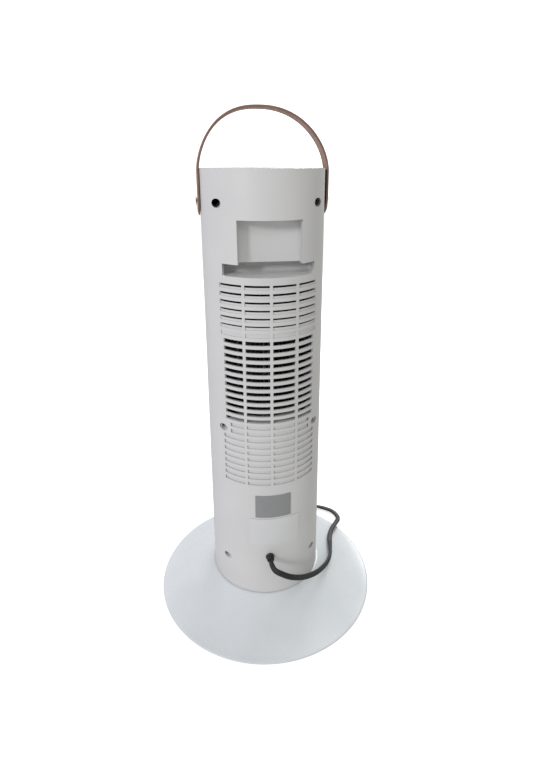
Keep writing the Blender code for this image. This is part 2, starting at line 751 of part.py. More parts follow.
def make_swivel():
    """The fixed post, gear and glide ring, and the drive that rides on the tower."""
    plate_top = BASE_PLATE_BOTTOM + BASE_PLATE_THICKNESS
    flange_low = BASE_TOP - NECK_SEAT_DEPTH + GAP
    gear_low = POST_TOP + GAP
    gear_top = gear_low + GEAR_THICKNESS
    nut_low = gear_top + GAP
    nut_high = nut_low + GEAR_NUT_HEIGHT
    mesh = bmesh.new()
    profile = [
        (POST_RADIUS, plate_top + GAP),
        (POST_RADIUS, flange_low),
        (POST_FLANGE_RADIUS, flange_low),
        (POST_FLANGE_RADIUS, BASE_TOP),
        (POST_RADIUS, BASE_TOP),
        (POST_RADIUS, POST_TOP),
        (POST_SPIGOT_RADIUS, POST_TOP),
        (POST_SPIGOT_RADIUS, nut_high),
        (POST_BORE, nut_high),
        (POST_BORE, plate_top + POST_FLOOR),
        (BOLT_RADIUS + GAP, plate_top + POST_FLOOR),
        (BOLT_RADIUS + GAP, plate_top + GAP),
    ]
    add_turned(mesh, profile, SIDES_RING)
    finish("swivel_post", mesh, MATERIALS["acetal"])

    mesh = bmesh.new()
    low, high = BASE_TOP + GAP, FLOOR_BOTTOM - GAP
    add_ring(mesh, GLIDE_OUTER, GLIDE_INNER, low, high, SIDES_RING)
    finish("glide_ring", mesh, MATERIALS["acetal"])

    mesh = bmesh.new()
    low, high = FLOOR_BOTTOM + FLOOR_THICKNESS + GAP, gear_low - GAP
    add_ring(mesh, WASHER_OUTER, POST_RADIUS + RUNNING_GAP, low, high, SIDES_RING)
    finish("thrust_washer", mesh, MATERIALS["steel"])

    mesh = bmesh.new()
    outline = gear_outline(GEAR_TEETH, GEAR_SECTOR_TEETH, GEAR_HUB_RADIUS)
    add_prism(mesh, outline, gear_low, gear_top)
    gear = finish("swivel_gear", mesh, MATERIALS["acetal"], smooth=False)
    hole = bmesh.new()
    add_cylinder(hole, GEAR_BORE, gear_low - OVERRUN, gear_top + OVERRUN, SIDES_RING)
    boolean(gear, guide_shape("guide_gear_bore", hole), "DIFFERENCE")

    mesh = bmesh.new()
    add_ring(mesh, GEAR_NUT_RADIUS, GEAR_BORE, nut_low, nut_high, SIDES_RING)
    finish("gear_nut", mesh, MATERIALS["zinc"])

    drive_y = -((GEAR_TEETH + PINION_TEETH) * GEAR_MODULE / 2 + CENTRE_CLEARANCE)
    pinion_top = gear_low + PINION_THICKNESS
    mesh = bmesh.new()
    outline = gear_outline(PINION_TEETH, PINION_TEETH, PINION_SHAFT_RADIUS)
    add_prism(mesh, [(x, drive_y + y) for x, y in outline], gear_low, pinion_top)
    pinion = finish("drive_pinion", mesh, MATERIALS["acetal"], smooth=False)
    shaft = bmesh.new()
    shaft_top = SWIVEL_MOTOR_BOTTOM + SWIVEL_EAR_THICKNESS + OVERRUN
    add_cylinder(
        shaft, PINION_SHAFT_RADIUS, pinion_top - BITE, shaft_top, SIDES_SMALL, (0.0, drive_y)
    )
    boolean(pinion, guide_shape("guide_pinion_shaft", shaft), "UNION")

    mesh = bmesh.new()
    motor_low = SWIVEL_MOTOR_BOTTOM + SWIVEL_EAR_THICKNESS
    motor_top = SWIVEL_MOTOR_BOTTOM + SWIVEL_MOTOR_HEIGHT
    ear_reach = SWIVEL_POST_SPREAD + SWIVEL_POST_RADIUS
    add_cylinder(
        mesh, SWIVEL_MOTOR_RADIUS, SWIVEL_MOTOR_BOTTOM, motor_top, SIDES_ROUND, (0.0, drive_y)
    )
    motor = finish("swivel_motor", mesh, MATERIALS["steel"])
    ears = bmesh.new()
    half = SWIVEL_EAR_WIDTH / 2
    add_box(
        ears,
        (-ear_reach, drive_y - half, SWIVEL_MOTOR_BOTTOM + GAP),
        (ear_reach, drive_y + half, motor_low),
    )
    boolean(motor, guide_shape("guide_motor_ears", ears), "UNION")
    hole = bmesh.new()
    bore = PINION_SHAFT_RADIUS + RUNNING_GAP
    hole_top = shaft_top + RUNNING_GAP
    add_cylinder(
        hole, bore, SWIVEL_MOTOR_BOTTOM - OVERRUN, hole_top, SIDES_SMALL, (0.0, drive_y)
    )
    boolean(motor, guide_shape("guide_motor_bore", hole), "DIFFERENCE")
    return drive_y


def make_tower_floor(drive_y):
    """The plate that closes the tower below and turns on the post."""
    top = FLOOR_BOTTOM + FLOOR_THICKNESS
    radius = tower_radius(top) - WALL - GAP
    bore = POST_RADIUS + RUNNING_GAP
    mesh = bmesh.new()
    add_faceted(mesh, [(0, FLOOR_BOTTOM), (radius, FLOOR_BOTTOM), (radius, top), (0, top)])
    floor = finish("tower_floor", mesh, MATERIALS["white_plastic"])
    posts = bmesh.new()
    for side in (-1, 1):
        spot = (side * SWIVEL_POST_SPREAD, drive_y)
        post_top = SWIVEL_MOTOR_BOTTOM
        add_cylinder(posts, SWIVEL_POST_RADIUS, top - BITE, post_top, SIDES_SMALL, spot)
    boolean(floor, guide_shape("guide_floor_posts", posts), "UNION")
    holes = bmesh.new()
    add_cylinder(holes, bore, FLOOR_BOTTOM - OVERRUN, top + OVERRUN, SIDES_RING)
    for spot in chassis_peg_places():
        hole = CHASSIS_PEG_RADIUS + GAP
        add_cylinder(holes, hole, FLOOR_BOTTOM - OVERRUN, top + OVERRUN, SIDES_SMALL, spot)
    boolean(floor, guide_shape("guide_floor_holes", holes), "DIFFERENCE")


def chassis_peg_places():
    """Two pegs below each foot of the chassis, which snap into the floor."""
    across = (CHASSIS_HALF_WIDTH + CHASSIS_WINDOW) / 2
    inset = 2 * CHASSIS_PEG_RADIUS
    places = []
    for side in (-1, 1):
        for y in (CHASSIS_FOOT_FRONT + inset, CHASSIS_FOOT_BACK - inset):
            places.append((side * across, y))
    return places


def middle_solid():
    """A cone through the middle of the tower's wall, which trims what is joined to it."""
    mesh = bmesh.new()
    low, high = TOWER_BOTTOM, TOWER_TOP
    profile = [
        (0, low),
        (tower_radius(low) - WALL / 2, low),
        (tower_radius(high) - WALL / 2, high),
        (0, high),
    ]
    add_faceted(mesh, profile)
    return guide_shape("guide_middle_cone", mesh)


def shell_screw_places():
    """(across, height) of each screw that joins the two halves."""
    places = []
    for z in SHELL_SCREW_HEIGHTS:
        across = tower_radius(z) * math.sin(math.radians(SHELL_SCREW_ANGLE))
        places += [(-across, z), (across, z)]
    return places


def make_rear_shell(middle):
    """The back half: slots, pocket, screw bosses and cord hole."""
    angles = rear_angles()
    levels = [TOWER_BOTTOM]
    for row in reversed(range(SLOT_ROWS)):
        top = SLOT_TOP - row * SLOT_PITCH
        levels += [top - SLOT_HEIGHT, top]
    levels.append(TOWER_TOP)

    def is_open(i, j):
        if j % 2 == 0 or j > 2 * SLOT_ROWS:
            return False
        row = SLOT_ROWS - 1 - (j - 1) // 2
        middle_angle = abs(angles[i] + angles[i + 1]) / 2
        end = SLOT_SHORT_ANGLE if row in SLOT_SHORT_ROWS else SLOT_END_ANGLE
        on_rib = middle_angle < RIB_HALF_ANGLE or abs(middle_angle - RIB_ANGLE) < RIB_HALF_ANGLE
        return middle_angle < end and not on_rib

    mesh = bmesh.new()
    add_panel(mesh, angles, levels, is_open, tower_radius, WALL)
    bmesh.ops.recalc_face_normals(mesh, faces=mesh.faces)
    mesh.normal_update()
    flat = math.radians(0.5)
    bmesh.ops.dissolve_limit(mesh, angle_limit=flat, verts=mesh.verts, edges=mesh.edges)
    shell = finish("rear_shell", mesh, MATERIALS["white_plastic"])

    bosses = bmesh.new()
    reach = TOWER_RADIUS_BOTTOM + OVERRUN
    for spot in shell_screw_places():
        add_cylinder(bosses, BOSS_RADIUS, BOSS_MEET + GAP, reach, SIDES_SMALL, spot, "Y")
    add_box(
        bosses,
        (-RECESS_HALF_WIDTH - POCKET_WALL, RECESS_BACK - POCKET_WALL, POCKET_TOP + POCKET_WALL),
        (RECESS_HALF_WIDTH + POCKET_WALL, reach, RECESS_TOP + POCKET_WALL),
    )
    lining = guide_shape("guide_rear_lining", bosses)
    pocket = bmesh.new()
    add_box(
        pocket,
        (-POCKET_HALF_WIDTH - POCKET_WALL, POCKET_BACK - POCKET_WALL, POCKET_FLOOR - POCKET_WALL),
        (POCKET_HALF_WIDTH + POCKET_WALL, reach, POCKET_TOP + POCKET_WALL + BITE),
    )
    boolean(lining, guide_shape("guide_pocket_box", pocket), "UNION")
    boolean(lining, middle, "INTERSECT")
    boolean(shell, lining, "UNION")

    cuts = bmesh.new()
    for spot in shell_screw_places():
        bore = COUNTERBORE_RADIUS
        shank = SHELL_SCREW_RADIUS + SCREW_HOLE_CLEARANCE
        profile = [(0, BOSS_MEET - OVERRUN), (shank, BOSS_MEET - OVERRUN)]
        profile += [(shank, SHELL_SCREW_SEAT), (bore, SHELL_SCREW_SEAT), (bore, reach), (0, reach)]
        add_turned(cuts, profile, SIDES_SMALL, spot, "Y")
    exit_spot = (CORD_EXIT_ACROSS, CORD_EXIT_HEIGHT)
    wall_inside = tower_radius(CORD_EXIT_HEIGHT) - WALL - OVERRUN
    add_cylinder(cuts, BUSH_HOLE, wall_inside, reach, SIDES_SMALL, exit_spot, "Y")
    add_box(
        cuts,
        (-RECESS_HALF_WIDTH, RECESS_BACK, POCKET_TOP - BITE),
        (RECESS_HALF_WIDTH, reach, RECESS_TOP),
    )
    room = guide_shape("guide_rear_cuts", cuts)
    pocket = bmesh.new()
    add_box(
        pocket,
        (-POCKET_HALF_WIDTH, POCKET_BACK, POCKET_FLOOR),
        (POCKET_HALF_WIDTH, reach, POCKET_TOP),
    )
    boolean(shell, room, "DIFFERENCE")
    boolean(shell, guide_shape("guide_pocket_room", pocket), "DIFFERENCE")


def make_front_shell(middle):
    """The front half, with the window that the outlet grille fills."""
    angles = front_angles()
    levels = [TOWER_BOTTOM, OUTLET_BOTTOM, OUTLET_TOP, TOWER_TOP]

    def is_open(i, j):
        return j == 1 and FRONT_SIDE_STEPS <= i < FRONT_SIDE_STEPS + FRONT_WINDOW_STEPS

    mesh = bmesh.new()
    add_panel(mesh, angles, levels, is_open, tower_radius, WALL)
    shell = finish("front_shell", mesh, MATERIALS["white_plastic"])
    bosses = bmesh.new()
    pilots = bmesh.new()
    reach = -TOWER_RADIUS_BOTTOM - OVERRUN
    for spot in shell_screw_places():
        add_cylinder(bosses, BOSS_RADIUS, reach, BOSS_MEET, SIDES_SMALL, spot, "Y")
        pilot = SHELL_SCREW_RADIUS + SCREW_HOLE_CLEARANCE
        bottom = SHELL_SCREW_SEAT - SHELL_SCREW_REACH - SCREW_HOLE_CLEARANCE
        add_cylinder(pilots, pilot, bottom, BOSS_MEET + OVERRUN, SIDES_SMALL, spot, "Y")
    lining = guide_shape("guide_front_bosses", bosses)
    boolean(lining, middle, "INTERSECT")
    boolean(shell, lining, "UNION")
    boolean(shell, guide_shape("guide_front_pilots", pilots), "DIFFERENCE")


def make_shell_screws():
    """Six equal screws that go in from the back."""
    profile = [
        (0, -SHELL_SCREW_REACH),
        (SHELL_SCREW_RADIUS, -SHELL_SCREW_REACH),
        (SHELL_SCREW_RADIUS, GAP),
        (SHELL_SCREW_HEAD, GAP),
        (SHELL_SCREW_HEAD, SHELL_SCREW_HEAD_HEIGHT),
        (0, SHELL_SCREW_HEAD_HEIGHT),
    ]
    mesh = bmesh.new()
    add_turned(mesh, profile, SIDES_SCREW, axis="Y")
    screw = finish("shell_screw_1", mesh, MATERIALS["black_steel"])
    for k, (x, z) in enumerate(shell_screw_places()):
        if k:
            screw = bpy.data.objects.new(f"shell_screw_{k + 1}", screw.data)
            bpy.context.scene.collection.objects.link(screw)
        screw.location = (x, SHELL_SCREW_SEAT, z)


def make_air_guide():
    """The white insert: slits behind the upper rows, a window behind the middle ones."""

    def outer(z):
        return tower_radius(z) - WALL - GAP

    half = [RIB_ANGLE, SLOT_SHORT_ANGLE, GUIDE_WINDOW_ANGLE, SIDE_ANGLES[0]]
    angles = [-a for a in reversed(half)] + [0.0, *half]
    last_row_bottom = SLOT_TOP - (SLOT_ROWS - 1) * SLOT_PITCH - SLOT_HEIGHT
    window_top = SLOT_TOP - GUIDE_WINDOW_FIRST_ROW * SLOT_PITCH
    window_bottom = SLOT_TOP - GUIDE_WINDOW_LAST_ROW * SLOT_PITCH - SLOT_HEIGHT
    levels = [last_row_bottom - GUIDE_BORDER, window_bottom, window_top]
    for row in reversed(range(GUIDE_SLIT_ROWS)):
        top = SLOT_TOP - row * SLOT_PITCH
        levels += [top - GUIDE_SLIT_HEIGHT, top]
    levels.append(SLOT_TOP + GUIDE_BORDER)

    def is_open(i, j):
        inside = 0 < i < len(angles) - 2
        window = j == 1
        slit = j >= 3 and j % 2 == 1 and j < 3 + 2 * GUIDE_SLIT_ROWS
        return inside and (window or slit)

    mesh = bmesh.new()
    add_panel(mesh, angles, levels, is_open, outer, GUIDE_THICKNESS)
    guide = finish("air_guide", mesh, MATERIALS["white_plastic"])
    cuts = bmesh.new()
    for spot in shell_screw_places():
        radius = BOSS_RADIUS + RUNNING_GAP
        add_cylinder(cuts, radius, 0, TOWER_RADIUS_BOTTOM, SIDES_SMALL, spot, "Y")
    boolean(guide, guide_shape("guide_guide_cuts", cuts), "DIFFERENCE")


def make_outlet_grille():
    """Upright bars in three sections, flush with the front."""
    first = 180.0 - OUTLET_HALF_ANGLE + OUTLET_GAP_ANGLE
    last = 180.0 + OUTLET_HALF_ANGLE - OUTLET_GAP_ANGLE
    start, end = first + OUTLET_BORDER_ANGLE, last - OUTLET_BORDER_ANGLE
    spacing = (end - start) / (OUTLET_COLUMNS - OUTLET_BAR_SHARE)
    angles = [first]
    for k in range(OUTLET_COLUMNS):
        angles += [start + k * spacing, start + (k + 1 - OUTLET_BAR_SHARE) * spacing]
    angles.append(last)
    low, high = OUTLET_BOTTOM + OUTLET_GAP, OUTLET_TOP - OUTLET_GAP
    ribs = (OUTLET_SECTIONS - 1) * OUTLET_CROSS_RIB
    section = (high - low - 2 * OUTLET_BORDER - ribs) / OUTLET_SECTIONS
    levels = [low]
    for k in range(OUTLET_SECTIONS):
        bottom = low + OUTLET_BORDER + k * (section + OUTLET_CROSS_RIB)
        levels += [bottom, bottom + section]
    levels.append(high)
    mesh = bmesh.new()
    add_panel(mesh, angles, levels, lambda i, j: i % 2 == 1 and j % 2 == 1, tower_radius, WALL)
    finish("outlet_grille", mesh, MATERIALS["dark_plastic"])


def button_places():
    count = len(BUTTON_NAMES)
    return [((k - (count - 1) / 2) * BUTTON_SPACING, BUTTON_ROW) for k in range(count)]


def make_top():
    """The lid with its buttons, its display window and the board with their switches."""
    underside = TOWER_TOP - CAP_THICKNESS
    skirt_low = underside - CAP_SKIRT_DEPTH
    radius = tower_radius(TOWER_TOP) - WALL - GAP
    inner = radius - CAP_SKIRT_WALL
    mesh = bmesh.new()
    profile = [(0, TOWER_TOP), (radius, TOWER_TOP), (radius, skirt_low), (inner, skirt_low)]
    profile += [(inner, underside), (0, underside)]
    add_faceted(mesh, profile)
    cap = finish("top_cap", mesh, MATERIALS["white_plastic"])
    posts = bmesh.new()
    for spot in CAP_POSTS:
        low = CONTROL_BOARD_TOP + GAP
        add_cylinder(posts, CAP_POST_RADIUS, low, underside + BITE, SIDES_SMALL, spot)
    boolean(cap, guide_shape("guide_cap_posts", posts), "UNION")
    cuts = bmesh.new()
    hole = BUTTON_RADIUS + RUNNING_GAP
    for spot in button_places():
        low, high = underside - BITE, TOWER_TOP + OVERRUN
        add_cylinder(cuts, hole, low, high, SIDES_SMALL, spot)
    add_box(
        cuts,
        (-DISPLAY_WIDTH / 2 - GAP, DISPLAY_MIDDLE - DISPLAY_DEPTH / 2 - GAP, TOWER_TOP - DISPLAY_RECESS),
        (DISPLAY_WIDTH / 2 + GAP, DISPLAY_MIDDLE + DISPLAY_DEPTH / 2 + GAP, TOWER_TOP + OVERRUN),
    )
    boolean(cap, guide_shape("guide_cap_cuts", cuts), "DIFFERENCE")

    mesh = bmesh.new()
    low = TOWER_TOP - DISPLAY_RECESS + GAP
    add_box(
        mesh,
        (-DISPLAY_WIDTH / 2, DISPLAY_MIDDLE - DISPLAY_DEPTH / 2, low),
        (DISPLAY_WIDTH / 2, DISPLAY_MIDDLE + DISPLAY_DEPTH / 2, low + DISPLAY_THICKNESS),
    )
    finish("display_window", mesh, MATERIALS["black_gloss"], smooth=False)

    switch_top = CONTROL_BOARD_TOP + GAP + (underside - CONTROL_BOARD_TOP) / 2
    stem_low = switch_top + TACT_CLEARANCE + BUTTON_TRAVEL
    flange_top = underside - GAP
    flange_radius = BUTTON_RADIUS + BUTTON_FLANGE
    for name, spot in zip(BUTTON_NAMES, button_places()):
        mesh = bmesh.new()
        flange_low = flange_top - BUTTON_FLANGE
        profile = [(0, stem_low), (BUTTON_STEM_RADIUS, stem_low), (BUTTON_STEM_RADIUS, flange_low)]
        profile += [(flange_radius, flange_low), (flange_radius, flange_top)]
        profile += [(BUTTON_RADIUS, flange_top), (BUTTON_RADIUS, TOWER_TOP), (0, TOWER_TOP)]
        add_turned(mesh, profile, SIDES_SMALL, spot)
        finish(name, mesh, MATERIALS["grey_plastic"])

    mesh = bmesh.new()
    outline = (
        (-CONTROL_BOARD_HALF_WIDTH, CONTROL_BOARD_BACK),
        (CONTROL_BOARD_HALF_WIDTH, CONTROL_BOARD_BACK),
        (CONTROL_BOARD_HALF_WIDTH, CONTROL_BOARD_SHOULDER),
        (CONTROL_BOARD_NOSE, CONTROL_BOARD_FRONT),
        (-CONTROL_BOARD_NOSE, CONTROL_BOARD_FRONT),
        (-CONTROL_BOARD_HALF_WIDTH, CONTROL_BOARD_SHOULDER),
    )
    add_prism(mesh, outline, CONTROL_BOARD_TOP - BOARD_THICKNESS, CONTROL_BOARD_TOP)
    board = finish("control_board", mesh, MATERIALS["board_green"], smooth=False)
    switches = bmesh.new()
    half = TACT_WIDTH / 2
    for x, y in button_places():
        low = (x - half, y - half, CONTROL_BOARD_TOP - BITE)
        add_box(switches, low, (x + half, y + half, switch_top))
    boolean(board, guide_shape("guide_switches", switches), "UNION")


def strap_outer(z):
    """Distance of the strap's outer face from the middle, where it runs down the side."""
    return tower_radius(z) + STRAP_OFF_RIM + STRAP_THICKNESS


def strap_line():
    """Points (across, height, how much it hugs the tower) of the strap's outer face."""
    line = []
    for k in range(STRAP_SIDE_STEPS):
        z = STRAP_END + (STRAP_SPRING - STRAP_END) * k / STRAP_SIDE_STEPS
        line.append((strap_outer(z), z, 1.0))
    width = strap_outer(STRAP_SPRING)
    rise = STRAP_APEX - STRAP_SPRING
    half = STRAP_ARCH_STEPS // 2
    for k in range(half + 1):
        turn = math.pi / 2 * k / half
        z = STRAP_SPRING + rise * math.sin(turn)
        hug = max(0.0, 1.0 - 2.0 * k / half)
        line.append((width * math.cos(turn), z, hug))
    return line + [(-x, z, hug) for x, z, hug in reversed(line[:-1])]


def make_strap():
    """The leather strap, wrapped on the tower's sides and flat over the arch."""
    line = strap_line()
    shares = (-1.0, 0.0, 1.0)
    radius = tower_radius(STRAP_SPRING)
    mesh = bmesh.new()
    rings = []
    for k, (x, z, hug) in enumerate(line):
        before, after = line[max(k - 1, 0)], line[min(k + 1, len(line) - 1)]
        run = Vector((after[0] - before[0], 0, after[1] - before[1])).normalized()
        inward = Vector((run.z, 0, -run.x))
        if inward.dot(Vector((-x, 0, STRAP_END - z))) < 0:
            inward.negate()
        outer_row, inner_row = [], []
        for share in shares:
            y = share * STRAP_HALF_WIDTH
            drop = (radius - math.sqrt(radius**2 - y**2)) * hug
            spot = Vector((x, y, z)) + inward * drop
            outer_row.append(mesh.verts.new(spot))
            inner_row.append(mesh.verts.new(spot + inward * STRAP_THICKNESS))
        rings.append(outer_row + inner_row[::-1])
    for first, second in zip(rings, rings[1:]):
        for i in range(len(first)):
            j = (i + 1) % len(first)
            mesh.faces.new((first[i], first[j], second[j], second[i]))
    count = len(shares)
    for ring in (rings[0], rings[-1]):
        for i in range(count - 1):
            mesh.faces.new((ring[i], ring[i + 1], ring[-i - 2], ring[-i - 1]))
    strap = finish("handle_strap", mesh, MATERIALS["leather"])
    corners = bmesh.new()
    reach = strap_outer(STRAP_END) + OVERRUN
    wide = STRAP_HALF_WIDTH + OVERRUN
    low = STRAP_END - OVERRUN
    middle_z = STRAP_END + STRAP_HALF_WIDTH
    arc_steps = 6
    for side in (-1, 1):
        outline = [(side * wide, middle_z), (side * wide, low), (0, low), (0, STRAP_END)]
        for k in range(1, arc_steps + 1):
            turn = math.pi / 2 * k / arc_steps
            y = side * STRAP_HALF_WIDTH * math.sin(turn)
            outline.append((y, middle_z - STRAP_HALF_WIDTH * math.cos(turn)))
        for x in (-1, 1):
            near = tower_radius(STRAP_SPRING) - STRAP_HALF_WIDTH
            add_prism(corners, outline, x * near, x * reach, "X")
    holes = bmesh.new()
    for x in (-1, 1):
        near, far = x * (tower_radius(RIVET_HEIGHT) - OVERRUN), x * reach
        hole = RIVET_SHANK + GAP
        add_cylinder(holes, hole, near, far, SIDES_SMALL, (0.0, RIVET_HEIGHT), "X")
    boolean(strap, guide_shape("guide_strap_corners", corners), "DIFFERENCE")
    boolean(strap, guide_shape("guide_strap_holes", holes), "DIFFERENCE")
    wall_holes = bmesh.new()
    for x in (-1, 1):
        near = x * (tower_radius(RIVET_HEIGHT) - WALL - OVERRUN)
        hole = RIVET_SHANK + GAP
        add_cylinder(wall_holes, hole, near, x * reach, SIDES_SMALL, (0.0, RIVET_HEIGHT), "X")
    boolean(bpy.data.objects["rear_shell"], guide_shape("guide_wall_holes", wall_holes), "DIFFERENCE")

    for name, x in (("strap_rivet_left", -1), ("strap_rivet_right", 1)):
        seat = strap_outer(RIVET_HEIGHT) + GAP
        head = seat + RIVET_HEAD_HEIGHT
        tip = tower_radius(RIVET_HEIGHT) - RIVET_REACH
        profile = [(0, tip), (RIVET_SHANK, tip), (RIVET_SHANK, seat), (RIVET_RADIUS, seat)]
        profile += [(RIVET_RADIUS, head), (0, head)]
        mesh = bmesh.new()
        add_turned(mesh, [(r, x * w) for r, w in profile], SIDES_SMALL, (0.0, RIVET_HEIGHT), "X")
        finish(name, mesh, MATERIALS["bronze"])


def make_chassis():
    """A flat ladder frame that stands on the tower's floor and carries the works."""
    foot = FLOOR_BOTTOM + FLOOR_THICKNESS + GAP
    back = CHASSIS_FRONT + CHASSIS_THICKNESS
    half, window = CHASSIS_HALF_WIDTH, CHASSIS_WINDOW

    def flat(depth, across, z):
        return Vector((across, depth, z))

    mesh = bmesh.new()
    levels = [foot, CHASSIS_LEG_TOP, CHASSIS_PANEL_TOP, CHASSIS_WINDOW_TOP, CHASSIS_TOP]
    add_panel(
        mesh,
        [-half, -window, window, half],
        levels,
        lambda i, j: i == 1 and j in (0, 2),
        lambda z: back,
        CHASSIS_THICKNESS,
        flat,
    )
    chassis = finish("chassis", mesh, MATERIALS["steel"], smooth=False)
    feet = bmesh.new()
    for side in (-1, 1):
        low, high = sorted((side * window, side * half))
        add_box(
            feet,
            (low + GAP, CHASSIS_FOOT_FRONT, foot),
            (high - GAP, CHASSIS_FOOT_BACK, foot + CHASSIS_FOOT_HEIGHT),
        )
    boolean(chassis, guide_shape("guide_chassis_feet", feet), "UNION")
    pegs = bmesh.new()
    for spot in chassis_peg_places():
        add_cylinder(pegs, CHASSIS_PEG_RADIUS, FLOOR_BOTTOM, foot + BITE, SIDES_SMALL, spot)
    boolean(chassis, guide_shape("guide_chassis_pegs", pegs), "UNION")


def make_blower():
    """The tangential wheel, its housing and bearings, and the motor below."""
    mesh = bmesh.new()
    bore = SHAFT_RADIUS + GAP
    for low in (WHEEL_BOTTOM, WHEEL_TOP - WHEEL_DISC):
        add_ring(mesh, WHEEL_RADIUS, bore, low, low + WHEEL_DISC, SIDES_ROUND)
    wheel = finish("blower_wheel", mesh, MATERIALS["black_plastic"])
    blades = bmesh.new()
    outer = (WHEEL_RADIUS - WHEEL_RIM_INSET) * math.cos(math.pi / SIDES_ROUND)
    lean = math.radians(BLADE_LEAN)
    for k in range(WHEEL_BLADES):
        turn = 2 * math.pi * k / WHEEL_BLADES
        root = Vector((math.cos(turn), math.sin(turn))) * BLADE_INNER
        along = Vector((math.cos(turn + lean), math.sin(turn + lean)))
        across = Vector((-along.y, along.x)) * BLADE_THICKNESS / 2
        length = math.sqrt(outer**2 - (BLADE_INNER * math.sin(lean)) ** 2)
        length -= BLADE_INNER * math.cos(lean) + BLADE_THICKNESS / 2
        tip = root + along * length
        corners = (root - across, tip - across, tip + across, root + across)
        low, high = WHEEL_BOTTOM + WHEEL_DISC / 2, WHEEL_TOP - WHEEL_DISC / 2
        add_prism(blades, [tuple(c) for c in corners], low, high)
    boolean(wheel, guide_shape("guide_blades", blades), "UNION")

    mesh = bmesh.new()
    add_cylinder(mesh, SHAFT_RADIUS, SHAFT_BOTTOM, SHAFT_TOP, SIDES_SMALL)
    finish("motor_shaft", mesh, MATERIALS["steel"])

    mesh = bmesh.new()
    inner, outer = HOUSING_BACK_HALF_WIDTH, HOUSING_HALF_WIDTH + HOUSING_WALL
    ear = (CHASSIS_HALF_WIDTH + CHASSIS_WINDOW) / 2
    step = CHASSIS_FRONT - GAP
    outline = (
        (-outer, HOUSING_FRONT),
        (outer, HOUSING_FRONT),
        (ear, step - OVERRUN),
        (ear, step),
        (inner, step),
        (inner, HOUSING_BACK),
        (-inner, HOUSING_BACK),
        (-inner, step),
        (-ear, step),
        (-ear, step - OVERRUN),
    )
    add_prism(mesh, outline, HOUSING_BOTTOM, HOUSING_BOTTOM + HOUSING_PLATE)
    add_prism(mesh, outline, HOUSING_TOP - HOUSING_PLATE, HOUSING_TOP)
    housing = finish("blower_housing", mesh, MATERIALS["dark_plastic"], smooth=False)
    walls = bmesh.new()
    low, high = HOUSING_BOTTOM + BITE, HOUSING_TOP - BITE
    wall = HOUSING_WALL
    near = WHEEL_RADIUS + HOUSING_WALL
    scroll = (
        (-inner + wall, HOUSING_BACK - wall),
        (-inner, HOUSING_BACK - wall),
        (-inner - BITE, 0.0),
        (-HOUSING_HALF_WIDTH - wall / 2, HOUSING_FRONT + BITE),
        (-HOUSING_HALF_WIDTH + wall / 2, HOUSING_FRONT + BITE),
        (-inner - BITE + wall, 0.0),
    )
    tongue = (
        (near, BLADE_INNER / 2),
        (near, 0.0),
        (HOUSING_HALF_WIDTH - wall / 2, HOUSING_FRONT + BITE),
        (HOUSING_HALF_WIDTH + wall / 2, HOUSING_FRONT + BITE),
        (near + wall, 0.0),
        (near + wall, BLADE_INNER / 2),
    )
    add_prism(walls, scroll, low, high)
    add_prism(walls, tongue, low, high)
    boolean(housing, guide_shape("guide_housing_walls", walls), "UNION")
    holes = bmesh.new()
    add_cylinder(
        holes,
        HOUSING_SHAFT_HOLE + GAP,
        HOUSING_BOTTOM - OVERRUN,
        HOUSING_BOTTOM + HOUSING_PLATE + BITE,
        SIDES_SMALL,
    )
    add_cylinder(
        holes,
        BEARING_RADIUS + GAP,
        HOUSING_TOP - HOUSING_PLATE - BITE,
        HOUSING_TOP + OVERRUN,
        SIDES_SMALL,
    )
    boolean(housing, guide_shape("guide_housing_holes", holes), "DIFFERENCE")

    mesh = bmesh.new()
    low = HOUSING_TOP - HOUSING_PLATE
    high = low + BEARING_HEIGHT
    bore = SHAFT_RADIUS + GAP
    profile = [(BEARING_RADIUS, low), (BEARING_RADIUS, high), (bore, high), (bore, low)]
    add_turned(mesh, profile, SIDES_SMALL)
    finish("top_bearing", mesh, MATERIALS["rubber"])
    make_blower_motor()


